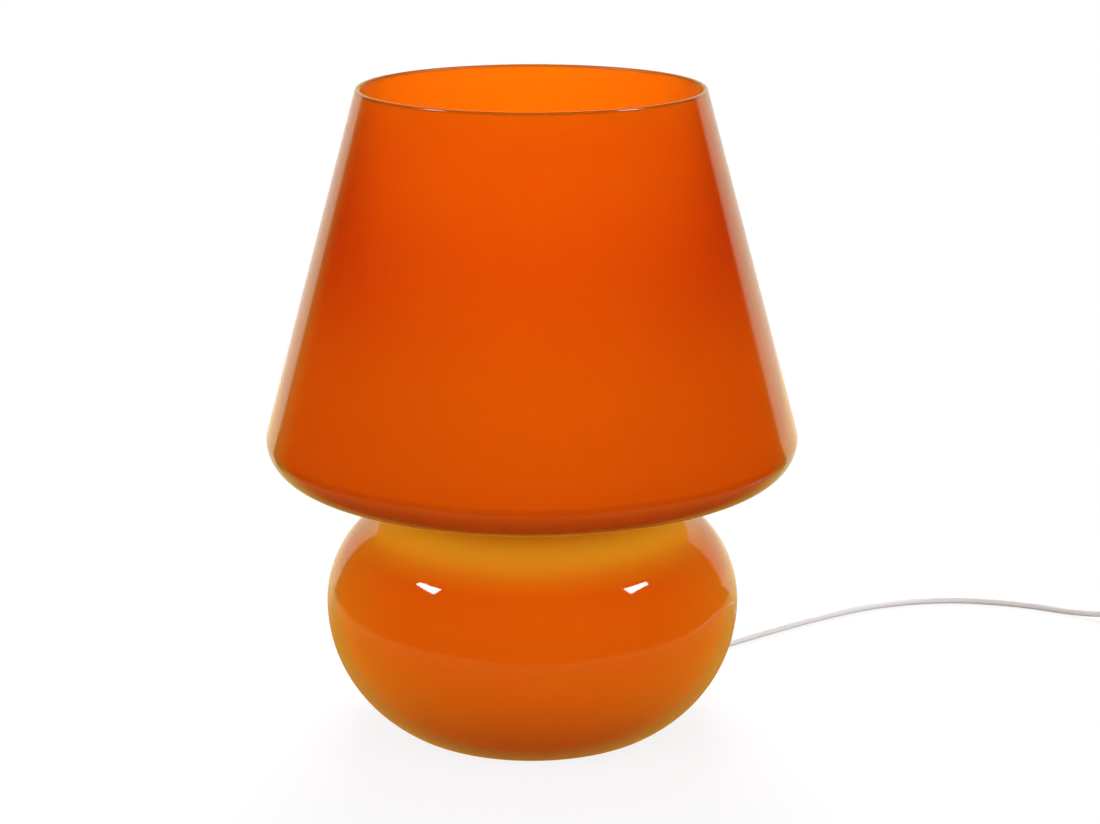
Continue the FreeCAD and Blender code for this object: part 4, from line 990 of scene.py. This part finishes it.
def towards(azimuth):
    """The level direction at an azimuth, from the front round to the right."""
    return Vector((math.sin(azimuth), -math.cos(azimuth), 0))


def lay_floor(context, s):
    """A plain floor, square to the view."""
    bpy.ops.object.select_all(action="DESELECT")
    bpy.ops.mesh.primitive_plane_add(size=1)
    floor = context.object
    floor.name = "floor"
    bpy.ops.object.mode_set(mode="EDIT")
    bpy.ops.mesh.select_all(action="SELECT")
    bpy.ops.transform.resize(value=Floor.SIZE)
    bpy.ops.transform.translate(value=Floor.FORWARD)
    bpy.ops.object.mode_set(mode="OBJECT")
    floor.rotation_euler.z = s.camera_azimuth
    floor.data.materials.append(floor_material())


def hang_lights(context, s):
    """Soft lights and windows about the lamp."""
    aim = Vector((0, 0, GLASS_HIGH.z / 2))
    for name, turn, rise, spread, away, size, power, mirrored in Lights.ALL:
        flat, up = towards(s.camera_azimuth + math.radians(turn)), math.radians(rise)
        place = aim + away * (flat * math.cos(up) + Vector((0, 0, math.sin(up))))
        bpy.ops.object.light_add(type="AREA", location=place)
        light = context.object
        light.name = name
        light.rotation_euler = (aim - place).to_track_quat("-Z", "Y").to_euler()
        light.data.size = size
        light.data.spread = math.radians(spread)
        light.data.energy = power
        light.visible_glossy = mirrored
        light.visible_diffuse = not mirrored


def set_camera(context, s):
    """The camera in front of the lamp, a little above its rim."""
    place = towards(s.camera_azimuth) * s.camera_distance
    place.z = s.camera_height
    turn = (math.pi / 2 - s.camera_pitch, 0, s.camera_azimuth - s.camera_yaw)
    bpy.ops.object.camera_add(location=place, rotation=turn)
    camera = context.object
    camera.data.lens = s.lens
    camera.data.sensor_width = Camera.FILM
    camera.data.clip_end = Camera.REACH
    context.scene.camera = camera


class LAMP_OT_stage(bpy.types.Operator):
    """Sets the floor, the room, the lights and the camera"""

    bl_idname = "lamp.stage"
    bl_label = "Set the stage"

    def execute(self, context):
        s = context.scene.lamp_stage
        context.scene.view_settings.view_transform = "Standard"
        lay_floor(context, s)
        context.scene.world = studio_world(s, -towards(s.camera_azimuth - Room.TURN))
        hang_lights(context, s)
        set_camera(context, s)
        return {"FINISHED"}


class LAMP_PT_panel(bpy.types.Panel):
    """Shows a button for each step that dresses the lamp"""

    bl_idname = "LAMP_PT_panel"
    bl_label = "Glass Table Lamp"
    bl_space_type = "VIEW_3D"
    bl_region_type = "UI"
    bl_category = "Lamp"

    def draw(self, context):
        for operator in OPERATORS:
            self.layout.operator(operator.bl_idname)


OPERATORS = (LAMP_OT_stage, LAMP_OT_cord, LAMP_OT_glass, LAMP_OT_fittings, LAMP_OT_bulb)
SETTINGS = (LampGlass, LampCord, LampStage)


def register():
    for made in (*SETTINGS, *OPERATORS, LAMP_PT_panel):
        bpy.utils.register_class(made)
    bpy.types.Scene.lamp_glass = bpy.props.PointerProperty(type=LampGlass)
    bpy.types.Scene.lamp_cord = bpy.props.PointerProperty(type=LampCord)
    bpy.types.Scene.lamp_stage = bpy.props.PointerProperty(type=LampStage)


def unregister():
    del bpy.types.Scene.lamp_stage
    del bpy.types.Scene.lamp_cord
    del bpy.types.Scene.lamp_glass
    for made in reversed((*SETTINGS, *OPERATORS, LAMP_PT_panel)):
        bpy.utils.unregister_class(made)


def main():
    register()
    bpy.ops.lamp.stage()
    bpy.ops.lamp.cord()
    bpy.ops.lamp.glass()
    bpy.ops.lamp.fittings()
    bpy.ops.lamp.bulb()


if __name__ == "__main__":
    main()
